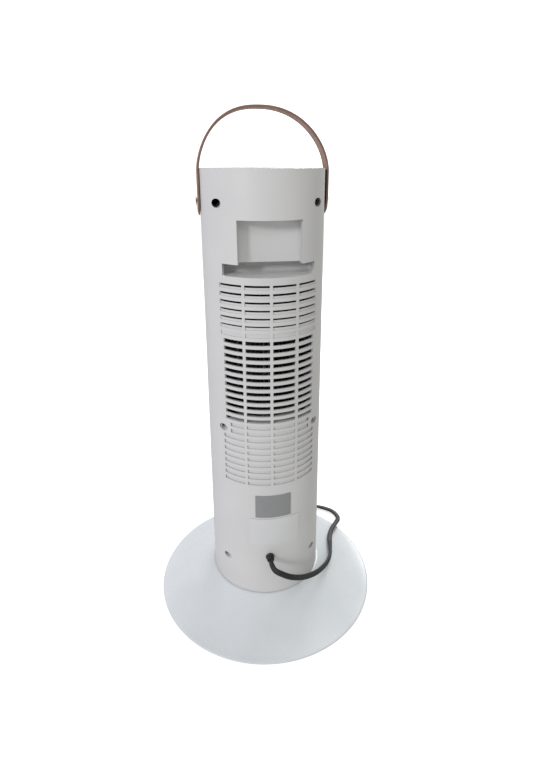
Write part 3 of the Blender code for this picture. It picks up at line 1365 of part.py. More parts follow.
def make_blower_motor():
    """A shaded-pole motor: core, coil, rotor and the two brackets with its bearings."""
    mesh = bmesh.new()
    half, arm = CORE_HALF_WIDTH, CORE_ARM_INNER
    outline = (
        (-half, CORE_FRONT),
        (half, CORE_FRONT),
        (half, CORE_YOKE_BACK),
        (-half, CORE_YOKE_BACK),
    )
    add_prism(mesh, outline, CORE_BOTTOM, CORE_TOP)
    core = finish("motor_core", mesh, MATERIALS["steel"], smooth=False)
    holes = bmesh.new()
    low, high = CORE_BOTTOM - OVERRUN, CORE_TOP + OVERRUN
    add_cylinder(holes, ROTOR_RADIUS + RUNNING_GAP, low, high, SIDES_ROUND)
    add_box(holes, (-arm, CORE_BODY_BACK, low), (arm, CORE_YOKE_FRONT, high))
    boolean(core, guide_shape("guide_core_holes", holes), "DIFFERENCE")

    mesh = bmesh.new()
    hole_low = (-COIL_HALF_WIDTH, CORE_YOKE_FRONT - GAP, CORE_BOTTOM - GAP)
    hole_high = (COIL_HALF_WIDTH, CORE_YOKE_BACK + GAP, CORE_TOP + GAP)
    low = (-COIL_HALF_WIDTH, hole_low[1] - COIL_BUILD, hole_low[2] - COIL_BUILD)
    high = (COIL_HALF_WIDTH, hole_high[1] + COIL_BUILD, hole_high[2] + COIL_BUILD)
    add_tube_box(mesh, low, high, hole_low, hole_high, "X")
    finish("motor_coil", mesh, MATERIALS["copper"], smooth=False)

    mesh = bmesh.new()
    bore = SHAFT_RADIUS + GAP
    low, high = CORE_BOTTOM - BITE, CORE_TOP + BITE
    profile = [(ROTOR_RADIUS, low), (ROTOR_RADIUS, high), (bore, high), (bore, low)]
    add_turned(mesh, profile, SIDES_ROUND)
    finish("motor_rotor", mesh, MATERIALS["steel"])

    mesh = bmesh.new()
    depth, leg_inner = BRACKET_HALF_DEPTH, half - BRACKET_LEG
    core_low, core_high = CORE_BOTTOM - GAP, CORE_TOP + GAP
    bar_low = core_low - BRACKET_STANDOFF
    bar_high = core_high + BRACKET_STANDOFF
    lower = (
        (-half, core_low),
        (-half, bar_low - BRACKET_BAR),
        (half, bar_low - BRACKET_BAR),
        (half, core_low),
        (leg_inner, core_low),
        (leg_inner, bar_low),
        (-leg_inner, bar_low),
        (-leg_inner, core_low),
    )
    post_top = HOUSING_BOTTOM - GAP
    upper = (
        (-half, core_high),
        (-leg_inner, core_high),
        (-leg_inner, bar_high),
        (leg_inner, bar_high),
        (leg_inner, core_high),
        (half, core_high),
        (half, post_top),
        (leg_inner, post_top),
        (leg_inner, bar_high + BRACKET_BAR),
        (-leg_inner, bar_high + BRACKET_BAR),
        (-leg_inner, post_top),
        (-half, post_top),
    )
    levels = (bar_low - BRACKET_BAR / 2, bar_high + BRACKET_BAR / 2)
    names = ("motor_bracket_lower", "motor_bracket_upper")
    for name, outline, level in zip(names, (lower, upper), levels):
        mesh = bmesh.new()
        add_prism(mesh, outline, -depth, depth, "Y")
        bracket = finish(name, mesh, MATERIALS["zinc"], smooth=False)
        bush = bmesh.new()
        low, high = level - BUSH_HEIGHT / 2, level + BUSH_HEIGHT / 2
        add_cylinder(bush, BUSH_RADIUS, low, high, SIDES_SMALL)
        boolean(bracket, guide_shape("guide_bush_" + name, bush), "UNION")
        hole = bmesh.new()
        add_cylinder(hole, bore, low - OVERRUN, high + OVERRUN, SIDES_SMALL)
        boolean(bracket, guide_shape("guide_hole_" + name, hole), "DIFFERENCE")


def make_heater():
    """The element: a frame round ceramic bars that have folded fins bonded between them."""
    back = HOUSING_FRONT - GAP
    front = back - HEATER_DEPTH
    half = HEATER_HALF_WIDTH
    low = (-half, front, HOUSING_BOTTOM)
    high = (half, back, HOUSING_TOP)
    border = HEATER_BORDER
    hole_low = (-half + border, front, HOUSING_BOTTOM + border)
    hole_high = (half - border, back, HOUSING_TOP - border)
    mesh = bmesh.new()
    add_tube_box(mesh, low, high, hole_low, hole_high, "Y")
    finish("heater_frame", mesh, MATERIALS["black_plastic"], smooth=False)

    width = hole_high[0] - hole_low[0]
    bottom, top = hole_low[2] + GAP, hole_high[2] - GAP
    strips = PTC_BARS + 1
    strip = (width - PTC_BARS * PTC_BAR_WIDTH) / strips
    bars = bmesh.new()
    fins = bmesh.new()
    for k in range(strips):
        left = hole_low[0] + k * (strip + PTC_BAR_WIDTH)
        right = left + strip
        if k:
            start = (left - PTC_BAR_WIDTH, front + BITE, bottom)
            add_box(bars, start, (left, back - BITE, top))
        left += GAP if k == 0 else -FIN_SINK
        right -= GAP if k == strips - 1 else -FIN_SINK
        fold_front, fold_back = front + 2 * BITE, back - 2 * BITE
        add_fin_strip(fins, left, right, bottom + BITE, top - BITE, fold_front, fold_back)
    core = finish("heater_core", bars, MATERIALS["aluminium"], smooth=False)
    boolean(core, guide_shape("guide_fins", fins), "UNION")

    middle_y = (front + back) / 2
    mesh = bmesh.new()
    low_z = HOUSING_TOP + GAP
    spot = (CUTOUT_ACROSS, middle_y)
    add_cylinder(mesh, CUTOUT_RADIUS, low_z, low_z + CUTOUT_HEIGHT, SIDES_ROUND, spot)
    finish("thermal_cutout", mesh, MATERIALS["zinc"])
    mesh = bmesh.new()
    spot = (middle_y, low_z + FUSE_RADIUS)
    start = FUSE_ACROSS - FUSE_LENGTH / 2
    add_cylinder(mesh, FUSE_RADIUS, start, start + FUSE_LENGTH, SIDES_SMALL, spot, "X")
    finish("thermal_fuse", mesh, MATERIALS["ceramic"])


def add_fin_strip(mesh, left, right, bottom, top, front, back):
    """One folded strip of sheet that runs up between two bars."""
    folds = int((top - bottom) / FIN_PITCH) * 2
    step = (top - bottom) / folds
    slant = FIN_THICKNESS * math.hypot(right - left, step) / step
    near, far = [], []
    for k in range(folds + 1):
        x = left if k % 2 == 0 else right - slant
        z = bottom + k * step
        near.append((x, z))
        far.append((x + slant, z))
    add_prism(mesh, near + far[::-1], front, back, "Y")


def make_power_board():
    """The mains board on its tray behind the chassis, with its large parts."""
    tray_low = CHASSIS_FRONT + CHASSIS_THICKNESS + GAP
    tray_high = tray_low + TRAY_THICKNESS
    board_low = tray_high + SPACER_LENGTH + GAP
    board_high = board_low + BOARD_THICKNESS
    half = POWER_BOARD_HALF_WIDTH
    low, high = POWER_BOARD_BOTTOM, POWER_BOARD_TOP
    mesh = bmesh.new()
    border = TRAY_BORDER
    add_box(
        mesh,
        (-half - border, tray_low, low - border),
        (half + border, tray_high, high + border),
    )
    tray = finish("board_tray", mesh, MATERIALS["black_plastic"], smooth=False)
    pegs = bmesh.new()
    for x in (-half + SPACER_INSET, half - SPACER_INSET):
        for z in (low + SPACER_INSET, high - SPACER_INSET):
            start, end = tray_high - BITE, board_low - GAP
            add_cylinder(pegs, SPACER_RADIUS, start, end, SIDES_SMALL, (x, z), "Y")
    boolean(tray, guide_shape("guide_tray_pegs", pegs), "UNION")

    mesh = bmesh.new()
    add_box(mesh, (-half, board_low, low), (half, board_high, high))
    board = finish("power_board", mesh, MATERIALS["board_green"], smooth=False)
    face = board_high + GAP
    groups = (
        ("guide_capacitor", CAPACITOR_SIZE, CAPACITOR_PLACE, None),
        ("relay", RELAY_SIZE, RELAY_PLACE, "black_plastic"),
        ("terminal_block", TERMINAL_SIZE, TERMINAL_PLACE, "grey_plastic"),
    )
    for name, size, (x, z), material in groups:
        mesh = bmesh.new()
        start = face if material else board_high - BITE
        corner = (x - size[0] / 2, start, z - size[2] / 2)
        add_box(mesh, corner, (x + size[0] / 2, face + size[1], z + size[2] / 2))
        if material:
            finish(name, mesh, MATERIALS[material], smooth=False)
        else:
            boolean(board, guide_shape(name, mesh), "UNION")

    mesh = bmesh.new()
    floor_top = FLOOR_BOTTOM + FLOOR_THICKNESS + GAP
    x, y = TILT_PLACE
    low = (x - TILT_SIZE[0] / 2, y - TILT_SIZE[1] / 2, floor_top)
    high = (x + TILT_SIZE[0] / 2, y + TILT_SIZE[1] / 2, floor_top + TILT_SIZE[2])
    add_box(mesh, low, high)
    finish("tilt_switch", mesh, MATERIALS["black_plastic"], smooth=False)
    return face + TERMINAL_SIZE[1]


def make_labels():
    """Two bare labels on the back, one metal foil and one paper."""

    def outer(z):
        return tower_radius(z) + GAP + LABEL_THICKNESS

    rating = (RATING_LABEL_ANGLES, RATING_LABEL_BOTTOM, RATING_LABEL_TOP)
    paper = (PAPER_LABEL_ANGLES, PAPER_LABEL_BOTTOM, PAPER_LABEL_TOP)
    for name, sizes, material in (("rating_label", rating, "foil"), ("paper_label", paper, "paper")):
        (first, last), low, high = sizes
        facets = (RIB_ANGLE - RIB_HALF_ANGLE, RIB_HALF_ANGLE)
        facets = [-a for a in facets] + list(reversed(facets))
        angles = [first, *(a for a in facets if first < a < last), last]
        mesh = bmesh.new()
        add_panel(mesh, angles, [low, high], lambda i, j: False, outer, LABEL_THICKNESS)
        finish(name, mesh, MATERIALS[material], smooth=False)


def back_face(radius, across):
    """How far back the facet beside the middle rib is, at a distance across."""
    first = round_tower(radius, RIB_HALF_ANGLE, 0)
    last = round_tower(radius, RIB_ANGLE - RIB_HALF_ANGLE, 0)
    return first.lerp(last, (across - first.x) / (last.x - first.x)).y


def bush_face():
    """How far from the axis the cord bush's flange sits."""
    return tower_radius(CORD_EXIT_HEIGHT) + GAP


def make_cord_bush(terminal_back):
    """The bush in the wall, and the lead from it to the terminal block."""
    spot = (CORD_EXIT_ACROSS, CORD_EXIT_HEIGHT)
    face = bush_face()
    far_side = CORD_EXIT_ACROSS + BUSH_FLANGE_RADIUS
    wall_inside = back_face(tower_radius(CORD_EXIT_HEIGHT) - WALL, far_side) - GAP
    collar_low = wall_inside - BUSH_COLLAR
    tail = collar_low - BUSH_INNER_LENGTH
    sleeve = face + BUSH_FLANGE
    tip = sleeve + BUSH_SLEEVE_LENGTH
    profile = [
        (0, tail),
        (BUSH_TAIL_RADIUS, tail),
        (BUSH_TAIL_RADIUS, collar_low),
        (BUSH_FLANGE_RADIUS, collar_low),
        (BUSH_FLANGE_RADIUS, wall_inside),
        (BUSH_NECK_RADIUS, wall_inside),
        (BUSH_NECK_RADIUS, face),
        (BUSH_FLANGE_RADIUS, face),
        (BUSH_FLANGE_RADIUS, sleeve),
        (BUSH_SLEEVE_RADIUS, sleeve),
        (BUSH_TIP_RADIUS, tip),
        (0, tip),
    ]
    mesh = bmesh.new()
    add_turned(mesh, profile, SIDES_SMALL, spot, "Y")
    finish("strain_relief", mesh, MATERIALS["cord_black"])

    straight = Vector((0, CORD_RADIUS, 0))
    first = Vector((CORD_EXIT_ACROSS, tail - GAP, CORD_EXIT_HEIGHT))
    last = Vector((TERMINAL_PLACE[0], terminal_back + GAP, TERMINAL_PLACE[1]))
    start, end = first - straight, last + straight
    reach = Vector((0, (start.y - end.y) / 2, 0))
    steps = 7
    points = [first]
    for k in range(steps + 1):
        t = k / steps
        points.append(
            (1 - t) ** 3 * start
            + 3 * (1 - t) ** 2 * t * (start - reach)
            + 3 * (1 - t) * t**2 * (end + reach)
            + t**3 * end
        )
    points.append(last)
    add_tube("inner_lead", points, CORD_RADIUS, 1, MATERIALS["cord_black"])
    return Vector((CORD_EXIT_ACROSS, tip + GAP, CORD_EXIT_HEIGHT))


def coil_points():
    """The coil's centreline: in along the floor layer, up, and out along the upper one."""
    step = 2 * CORD_RADIUS + COIL_SELF_GAP
    low = CORD_RADIUS + COIL_LIFT
    turns = COIL_TURNS_IN + COIL_TURNS_CLIMB + COIL_TURNS_OUT
    count = round(turns * COIL_POINTS)
    outer = COIL_INNER_RADIUS + step * COIL_TURNS_IN
    points = []
    for k in range(count + 1):
        turn = turns * k / count
        if turn < COIL_TURNS_IN:
            radius, z = outer - step * turn, low
        elif turn < COIL_TURNS_IN + COIL_TURNS_CLIMB:
            t = (turn - COIL_TURNS_IN) / COIL_TURNS_CLIMB
            radius = COIL_INNER_RADIUS - COIL_CLIMB_INSET * math.sin(math.pi * t)
            z = low + step * (3 * t**2 - 2 * t**3)
        else:
            radius = COIL_INNER_RADIUS + step * (turn - COIL_TURNS_IN - COIL_TURNS_CLIMB)
            z = low + step
        angle = math.radians(COIL_LEAVE_ANGLE) - 2 * math.pi * turn
        points.append(
            Vector(
                (
                    COIL_MIDDLE[0] + radius * math.cos(angle),
                    COIL_MIDDLE[1] + radius * math.sin(angle),
                    z,
                )
            )
        )
    return points


def straight_ends(points):
    """The points with one cord diameter of straight run added at each end."""
    length = 2 * CORD_RADIUS
    first = points[0] + (points[0] - points[1]).normalized() * length
    last = points[-1] + (points[-1] - points[-2]).normalized() * length
    return [first, *points, last]


def least_self_gap(points):
    """The least clear distance between stretches that aren't neighbours."""
    fine = []
    parts = 4
    for a, b in zip(points, points[1:]):
        fine += [a.lerp(b, k / parts) for k in range(parts)]
    apart = COIL_POINTS * parts // 2
    least = min(
        (fine[i] - fine[j]).length
        for i in range(len(fine))
        for j in range(i + apart, len(fine))
    )
    return least - 2 * CORD_RADIUS


def make_cord(start):
    """The free cord, its coil on the floor behind the tower, the tie and the plug."""
    coil = straight_ends(coil_points())
    add_tube("cord_coil", coil, CORD_RADIUS, 1, MATERIALS["cord_black"])
    print("coil's least gap to itself, mm:", round(least_self_gap(coil[1:-1]) * 1000, 3))

    into_coil = (coil[1] - coil[0]).normalized()
    end = coil[0] - into_coil * GAP
    out = Vector((0, 2 * CORD_RADIUS / 3, 0))
    route = [start, start + out, *CORD_ROUTE, end - into_coil * 2 * CORD_RADIUS, end]
    tube = smooth_route(route, CORD_TUBE_POINTS)
    add_tube("cord_tube", tube, CORD_RADIUS, 2, MATERIALS["cord_black"])

    away = (coil[-1] - coil[-2]).normalized()
    make_plug(coil[-1] + away * GAP, away)
    make_tie()
    length = sum((b - a).length for a, b in zip(tube, tube[1:]))
    length += sum((b - a).length for a, b in zip(coil, coil[1:]))
    print("cord length, m:", round(length, 3))


def make_tie():
    """A flat band round the coil's turns."""
    step = 2 * CORD_RADIUS + COIL_SELF_GAP
    inner = COIL_INNER_RADIUS - CORD_RADIUS - GAP
    outer = COIL_INNER_RADIUS + step * max(COIL_TURNS_IN, COIL_TURNS_OUT) + CORD_RADIUS + GAP
    low = COIL_LIFT - GAP
    high = COIL_LIFT + 2 * CORD_RADIUS + step + GAP
    half = TIE_WIDTH / 2
    turn = math.radians(TIE_ANGLE)
    out = Vector((math.cos(turn), math.sin(turn), 0))
    side = Vector((-out.y, out.x, 0))
    middle = Vector((*COIL_MIDDLE, 0))
    loops = []
    for grow in (0, TIE_THICKNESS):
        for w in (-half, half):
            corners = (
                (inner - grow, low - grow),
                (outer + grow, low - grow),
                (outer + grow, high + grow),
                (inner - grow, high + grow),
            )
            loops.append([middle + out * u + side * w + Vector((0, 0, v)) for u, v in corners])
    mesh = bmesh.new()
    inner_low, inner_high, outer_low, outer_high = (
        [mesh.verts.new(p) for p in loop] for loop in loops
    )
    for first, second in (
        (outer_low, outer_high),
        (inner_high, inner_low),
        (outer_high, inner_high),
        (inner_low, outer_low),
    ):
        for i in range(4):
            j = (i + 1) % 4
            mesh.faces.new((first[i], first[j], second[j], second[i]))
    finish("cord_tie", mesh, MATERIALS["cord_black"], smooth=False)


def make_plug(start, along):
    """A two-blade plug that lies flat, on the end of the coil."""
    side = Vector((-along.y, along.x, 0)).normalized()
    up = Vector((0, 0, 1))
    tail = PLUG_NECK_LENGTH
    drop = start.z - PLUG_HEIGHT / 2 - GAP
    stations = (
        (0.0, PLUG_WAIST / 2, PLUG_WAIST / 2, 0.0),
        (tail, PLUG_WAIST / 2 + BITE, PLUG_WAIST / 2 + BITE, drop),
        (tail + PLUG_LENGTH / 3, PLUG_WIDTH / 2, PLUG_HEIGHT / 2, drop),
        (tail + PLUG_LENGTH, PLUG_WIDTH / 2, PLUG_HEIGHT / 2, drop),
    )
    shares = ((-1, -0.5), (-0.5, -1), (0.5, -1), (1, -0.5), (1, 0.5), (0.5, 1), (-0.5, 1), (-1, 0.5))
    mesh = bmesh.new()
    rings = []
    for distance, half_width, half_height, sunk in stations:
        middle = start + along * distance - up * sunk
        rings.append(
            [mesh.verts.new(middle + side * u * half_width + up * v * half_height) for u, v in shares]
        )
    for first, second in zip(rings, rings[1:]):
        for i in range(len(shares)):
            j = (i + 1) % len(shares)
            mesh.faces.new((first[i], first[j], second[j], second[i]))
    mesh.faces.new(rings[0][::-1])
    mesh.faces.new(rings[-1])
    plug = finish("plug", mesh, MATERIALS["cord_black"])

    mesh = bmesh.new()
    face = tail + PLUG_LENGTH - BITE
    for offset in (-BLADE_SPACING / 2, BLADE_SPACING / 2):
        corners = []
        for u in (-PIN_BLADE_THICKNESS / 2, PIN_BLADE_THICKNESS / 2):
            for w in (0.0, BLADE_LENGTH):
                for v in (-BLADE_HEIGHT / 2, BLADE_HEIGHT / 2):
                    spot = start + along * (face + w) + side * (offset + u) + up * (v - drop)
                    corners.append(mesh.verts.new(spot))
        for quad in ((0, 1, 3, 2), (4, 6, 7, 5), (0, 4, 5, 1), (2, 3, 7, 6), (0, 2, 6, 4), (1, 5, 7, 3)):
            mesh.faces.new([corners[i] for i in quad])
    boolean(plug, guide_shape("guide_plug_blades", mesh), "UNION")


for old in list(bpy.data.objects):
    bpy.data.objects.remove(old, do_unlink=True)

MATERIALS = {
    "guide": make_material("guide", (0.5, 0.5, 0.5), 0.5),
    "white_plastic": make_material("white_plastic", (0.80, 0.80, 0.81), 0.38),
    "base_white": make_material("base_white", (0.80, 0.83, 0.85), 0.34),
    "grey_plastic": make_material("grey_plastic", (0.42, 0.43, 0.44), 0.45),
    "dark_plastic": make_material("dark_plastic", (0.06, 0.06, 0.065), 0.45),
    "black_plastic": make_material("black_plastic", (0.02, 0.02, 0.02), 0.40),
    "black_gloss": make_material("black_gloss", (0.01, 0.01, 0.012), 0.08),
    "acetal": make_material("acetal", (0.75, 0.74, 0.70), 0.35),
    "rubber": make_material("rubber", (0.03, 0.03, 0.03), 0.80),
    "steel": make_material("steel", (0.55, 0.56, 0.57), 0.35, 1.0),
    "black_steel": make_material("black_steel", (0.03, 0.03, 0.035), 0.40, 1.0),
    "zinc": make_material("zinc", (0.60, 0.62, 0.64), 0.30, 1.0),
    "bronze": make_material("bronze", (0.45, 0.30, 0.18), 0.35, 1.0),
    "copper": make_material("copper", (0.72, 0.36, 0.22), 0.35, 1.0),
    "aluminium": make_material("aluminium", (0.80, 0.81, 0.82), 0.30, 1.0),
    "ceramic": make_material("ceramic", (0.78, 0.76, 0.70), 0.60),
    "board_green": make_material("board_green", (0.05, 0.22, 0.10), 0.50),
    "leather": make_material("leather", (0.25, 0.16, 0.13), 0.62),
    "foil": make_material("foil", (0.33, 0.33, 0.33), 0.45, 0.6),
    "paper": make_material("paper", (0.84, 0.84, 0.84), 0.70),
    "cord_black": make_material("cord_black", (0.025, 0.026, 0.028), 0.55),
}

make_base_cover()
make_base_plate()
drive_place = make_swivel()
make_tower_floor(drive_place)
middle_cone = middle_solid()
make_rear_shell(middle_cone)
make_front_shell(middle_cone)
make_shell_screws()
make_air_guide()
make_outlet_grille()
make_top()
make_strap()
make_chassis()
make_blower()
make_heater()
terminal_face = make_power_board()
make_labels()
cord_start = make_cord_bush(terminal_face)
make_cord(cord_start)
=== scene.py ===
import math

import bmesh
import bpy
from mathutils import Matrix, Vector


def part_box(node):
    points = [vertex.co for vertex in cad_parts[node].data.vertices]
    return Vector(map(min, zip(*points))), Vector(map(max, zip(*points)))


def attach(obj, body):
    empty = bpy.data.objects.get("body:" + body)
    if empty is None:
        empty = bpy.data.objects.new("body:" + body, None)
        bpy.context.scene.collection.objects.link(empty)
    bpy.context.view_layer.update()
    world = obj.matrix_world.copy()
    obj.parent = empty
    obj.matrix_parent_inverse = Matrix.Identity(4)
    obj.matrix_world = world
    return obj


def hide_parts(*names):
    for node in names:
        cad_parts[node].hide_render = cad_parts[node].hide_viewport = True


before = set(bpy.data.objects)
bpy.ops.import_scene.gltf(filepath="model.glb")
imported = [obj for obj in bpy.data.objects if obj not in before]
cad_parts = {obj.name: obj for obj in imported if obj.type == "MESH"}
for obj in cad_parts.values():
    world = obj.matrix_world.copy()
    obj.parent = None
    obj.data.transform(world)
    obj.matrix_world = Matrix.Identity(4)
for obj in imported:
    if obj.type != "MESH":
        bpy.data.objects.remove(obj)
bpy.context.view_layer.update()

# %% [markdown]
# # A tower fan heater, seen from behind
# The heater is a slim, slightly conical tower on a round base, with a leather strap over its
# top. The photograph shows its back: the air intake, the pocket for the remote control, the
# cord and two labels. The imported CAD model, loaded above, gives every piece its place.
# This lesson gives the pieces in sight their real edges, folds and finishes. Everything is
# in metres: the tower stands on the Z axis, its front faces -Y and its back faces +Y.

# %% [markdown]
# ## Sizes
# A model that is made twice, as solids and as a picture, needs one set of sizes. They could
# be measured on the loaded nodes, but a maker wants them by name, so they are written here
# as they are in the part's source.

# %% Sizes of the tower
GAP = 0.0003  # between parts that touch
TOWER_BOTTOM, TOWER_TOP = 0.0396, 0.5598
RADIUS_BOTTOM, RADIUS_TOP = 0.0742, 0.0648
WALL = 0.0022
SEAM = 97.85  # edge of the back half, in degrees from the middle of the back
SCREW_HEIGHTS = (0.529, 0.283, 0.087)
SCREW_ANGLE = 50.5


def tower_radius(z):
    share = (z - TOWER_BOTTOM) / (TOWER_TOP - TOWER_BOTTOM)
    return RADIUS_BOTTOM + (RADIUS_TOP - RADIUS_BOTTOM) * share


def on_tower(radius, angle, z):
    """A point at an angle in degrees from the middle of the back, towards +X."""
    turn = math.radians(angle)
    return Vector((radius * math.sin(turn), radius * math.cos(turn), z))


print("tower radius half way up", round(tower_radius((TOWER_BOTTOM + TOWER_TOP) / 2), 4))

# %% [markdown]
# ## Camera
# A product photograph is taken with a camera on a stand, a little above the object. Its place
# could be found by eye. Here it was solved from points whose real size is known, the round
# base and the rows of slots, so that the render lies on the photograph.

# %% Camera
right = Vector((-0.989166, 0.146802, 0.000675))
down = Vector((0.061916, 0.421358, -0.904779))
back = Vector((0.133108, 0.894935, 0.425882))
lens = bpy.data.cameras.new("camera")
lens.sensor_fit = "AUTO"
lens.sensor_width = 36.0
lens.lens = 22.233
lens.clip_start, lens.clip_end = 0.01, 50.0
camera = bpy.data.objects.new("camera", lens)
bpy.context.scene.collection.objects.link(camera)
axes = Matrix((right, -down, back)).transposed().to_4x4()
camera.matrix_world = Matrix.Translation((0.067364, 0.540831, 0.564371)) @ axes
bpy.context.scene.camera = camera
print("lens", lens.lens, "mm on a", lens.sensor_width, "mm sensor")

# %% [markdown]
# ## Finishes
# A real surface is never one flat value. Each finish below starts from what the part is made
# of and how its surface came about. It gets the refraction, metallic and roughness that are
# typical of that stuff, and is then matched to the photograph. The patterns are noise on the
# object's own coordinates, so they stay put on the piece, and their sizes are given in
# millimetres. A pixel of this render covers 1.2 mm, so the grain of a mould, about 0.1 mm on
# the real part, is drawn several times coarser, or it would not show at all.

# %% Colours and nodes
def linear(text):
    """An sRGB colour written #RRGGBB as linear RGBA."""
    values = []
    for k in (1, 3, 5):
        c = int(text[k : k + 2], 16) / 255
        values.append(c / 12.92 if c <= 0.04045 else ((c + 0.055) / 1.055) ** 2.4)
    return (*values, 1.0)


def add_node(tree, kind, links=(), settings=(), stops=(), **sockets):
    """A node with its settings, its colour stops, its values and the outputs linked into it."""
    node = tree.nodes.new(kind)
    for name, value in dict(settings).items():
        setattr(node, name, value)
    for name, value in sockets.items():
        node.inputs[name.replace("_", " ")].default_value = value
    for name, output in dict(links).items():
        tree.links.new(output, node.inputs[name])
    for k, (place, colour) in enumerate(stops):
        point = node.color_ramp.elements[k]
        point.position, point.color = place, linear(colour)
    return node


def per_metre(millimetres):
    """The scale of a noise whose spots are so many millimetres wide."""
    return 1000.0 / millimetres


print("a 0.7 mm grain has scale", round(per_metre(0.7)))

# %% [markdown]
# ### A look from patterns
# A finish is a shader whose tone, gloss and relief each come from a pattern. How they are
# linked is the same for all of them, so it is written once.

# %% A material and its look
def start_material(name, coordinates="Object", **values):
    """A material, its node tree, its shader and the coordinates of its patterns."""
    material = bpy.data.materials.new(name)
    material.use_nodes = True
    tree = material.node_tree
    shader = tree.nodes["Principled BSDF"]
    for socket, value in values.items():
        shader.inputs[socket.replace("_", " ")].default_value = value
    coords = add_node(tree, "ShaderNodeTexCoord").outputs[coordinates]
    return material, tree, shader, coords


def give_look(
    tree, shader, tone_from, stops, gloss_from, rough, height, relief_mm, span=(0.3, 0.7)
):
    """Links a shader's tone, gloss and relief to the patterns that they come from."""
    tone = add_node(tree, "ShaderNodeValToRGB", {"Fac": tone_from}, stops=stops)
    gloss = add_node(
        tree, "ShaderNodeMapRange", {"Value": gloss_from},
        From_Min=span[0], From_Max=span[1], To_Min=rough[0], To_Max=rough[1],
    )
    relief = add_node(tree, "ShaderNodeBump", {"Height": height}, Distance=relief_mm / 1000)
    tree.links.new(tone.outputs["Color"], shader.inputs["Base Color"])
    tree.links.new(gloss.outputs["Result"], shader.inputs["Roughness"])
    tree.links.new(relief.outputs["Normal"], shader.inputs["Normal"])


print("materials before the first finish", len(bpy.data.materials))

# %% [markdown]
# ### Moulded plastic
# Plastic that is shot into a steel mould copies the mould: a fine, even grain, and a tone that
# drifts a little where the melt cooled slowly. One image map could show both. Two layers of
# noise do it without a seam: the slow one moves the colour, the fine one moves the gloss and
# the height together.

# %% Moulded plastic
def moulded(name, dark, light, rough, grain_mm=0.7, relief_mm=0.02, ior=1.54, metallic=0.0):
    material, tree, shader, coords = start_material(name, IOR=ior, Metallic=metallic)
    drift = add_node(
        tree, "ShaderNodeTexNoise", {"Vector": coords}, Scale=per_metre(55.0), Detail=3.0
    ).outputs["Fac"]
    grain = add_node(
        tree, "ShaderNodeTexNoise", {"Vector": coords}, Scale=per_metre(grain_mm), Detail=2.0
    ).outputs["Fac"]
    stops = (0.3, dark), (0.7, light)
    give_look(tree, shader, drift, stops, grain, rough, grain, relief_mm)
    return material


# ABS, satin mould: the tower's soft white, whose highlights are broad and dull
WHITE = moulded("moulded_abs_white", "#CCCCCC", "#D1D1D0", (0.36, 0.44))
# ABS, polished mould: the base is a little bluer and shinier than the tower
BASE_WHITE = moulded("polished_abs_white", "#D2D8DB", "#D9DEE1", (0.24, 0.32), 0.9, 0.01)
# ABS, satin mould: grey push-buttons that the finger finds on a white lid
GREY = moulded("moulded_abs_grey", "#8C8E90", "#9A9C9E", (0.40, 0.50))
# glass-filled PBT: stays hard in front of the heater, and looks dull and dark
DARK = moulded("moulded_pbt_dark", "#2A2B2D", "#36383A", (0.42, 0.55), ior=1.56)
# polyamide: black inner parts, the plug and the bush, with a slightly rough skin
BLACK = moulded("moulded_polyamide_black", "#111112", "#1B1B1C", (0.45, 0.6), 0.55, 0.04, 1.53)
# smoked acrylic: a display window as smooth as glass
GLOSS = moulded("smoked_acrylic", "#08090A", "#0E0F11", (0.05, 0.08), 2.5, 0.002, 1.49)
# acetal: slippery ivory gears and glides
ACETAL = moulded("moulded_acetal", "#E6E2D6", "#EEEAE0", (0.35, 0.42), ior=1.48)
# rubber: takes almost no highlight
RUBBER = moulded("moulded_rubber", "#1E1E1F", "#2A2A2B", (0.75, 0.88), 0.42, 0.06, 1.52)
# alumina ceramic: matt and chalky
CERAMIC = moulded("pressed_ceramic", "#D7CFC2", "#E6E0D5", (0.6, 0.75), 0.62, 0.04, 1.70)
# glass-epoxy board under green solder mask: an even lacquer over a faint weave
BOARD = moulded("solder_mask_green", "#12492D", "#1B6A40", (0.32, 0.45), 1.1, 0.03, 1.55)
# woodfree paper, coated: white, without shine
PAPER = moulded("coated_paper", "#CFD0D1", "#D4D5D5", (0.62, 0.74), 0.38, 0.02, 1.50)
# steel, blackened in a hot bath: a dark metal with a thin oily shine
BLACK_STEEL = moulded("blackened_steel", "#16171A", "#26272A", (0.30, 0.42), 0.45, 0.03, 1.50, 0.9)
# nylon hook-and-loop tape: soft pile that swallows light
TIE_BLACK = moulded("woven_nylon_tape", "#17181A", "#232427", (0.7, 0.85), 0.31, 0.08, 1.53)
# painted shade: a rough, nearly black finish on the strap's inner face where it lies in the dark
# gap beside the tower
PAINTED_GAP_SHADE = moulded("strap_painted_gap_shade", "#1D1A19", "#282423", (0.8, 0.9), 0.45, 0.05, 1.50)
print("moulded and coated finishes made")

# %% [markdown]
# ### Drawn and rolled metal
# A rolled sheet or a drawn wire has lines along the way it was pulled. Anisotropic shading
# could show them, but on parts this small a stretched noise is enough: it is wide along the
# lines and narrow across them, and it moves colour, gloss and height.

# %% Drawn and rolled metal
def drawn(name, dark, light, rough, streak_mm, relief_mm=0.015, metallic=1.0):
    """Metal whose streaks are so many millimetres wide along X, Y and Z."""
    material, tree, shader, coords = start_material(name, Metallic=metallic)
    scale = [per_metre(width) for width in streak_mm]
    placed = add_node(tree, "ShaderNodeMapping", {"Vector": coords}, Scale=scale)
    lines = add_node(
        tree, "ShaderNodeTexNoise", {"Vector": placed.outputs["Vector"]},
        Scale=1.0, Detail=3.0, Roughness=0.6,
    ).outputs["Fac"]
    stops = (0.25, dark), (0.75, light)
    give_look(tree, shader, lines, stops, lines, rough, lines, relief_mm)
    return material


# steel, cold rolled: grey, with the lines of the rolls
STEEL = drawn("rolled_steel", "#9DA0A3", "#C2C5C8", (0.28, 0.42), (3.3, 3.3, 0.33))
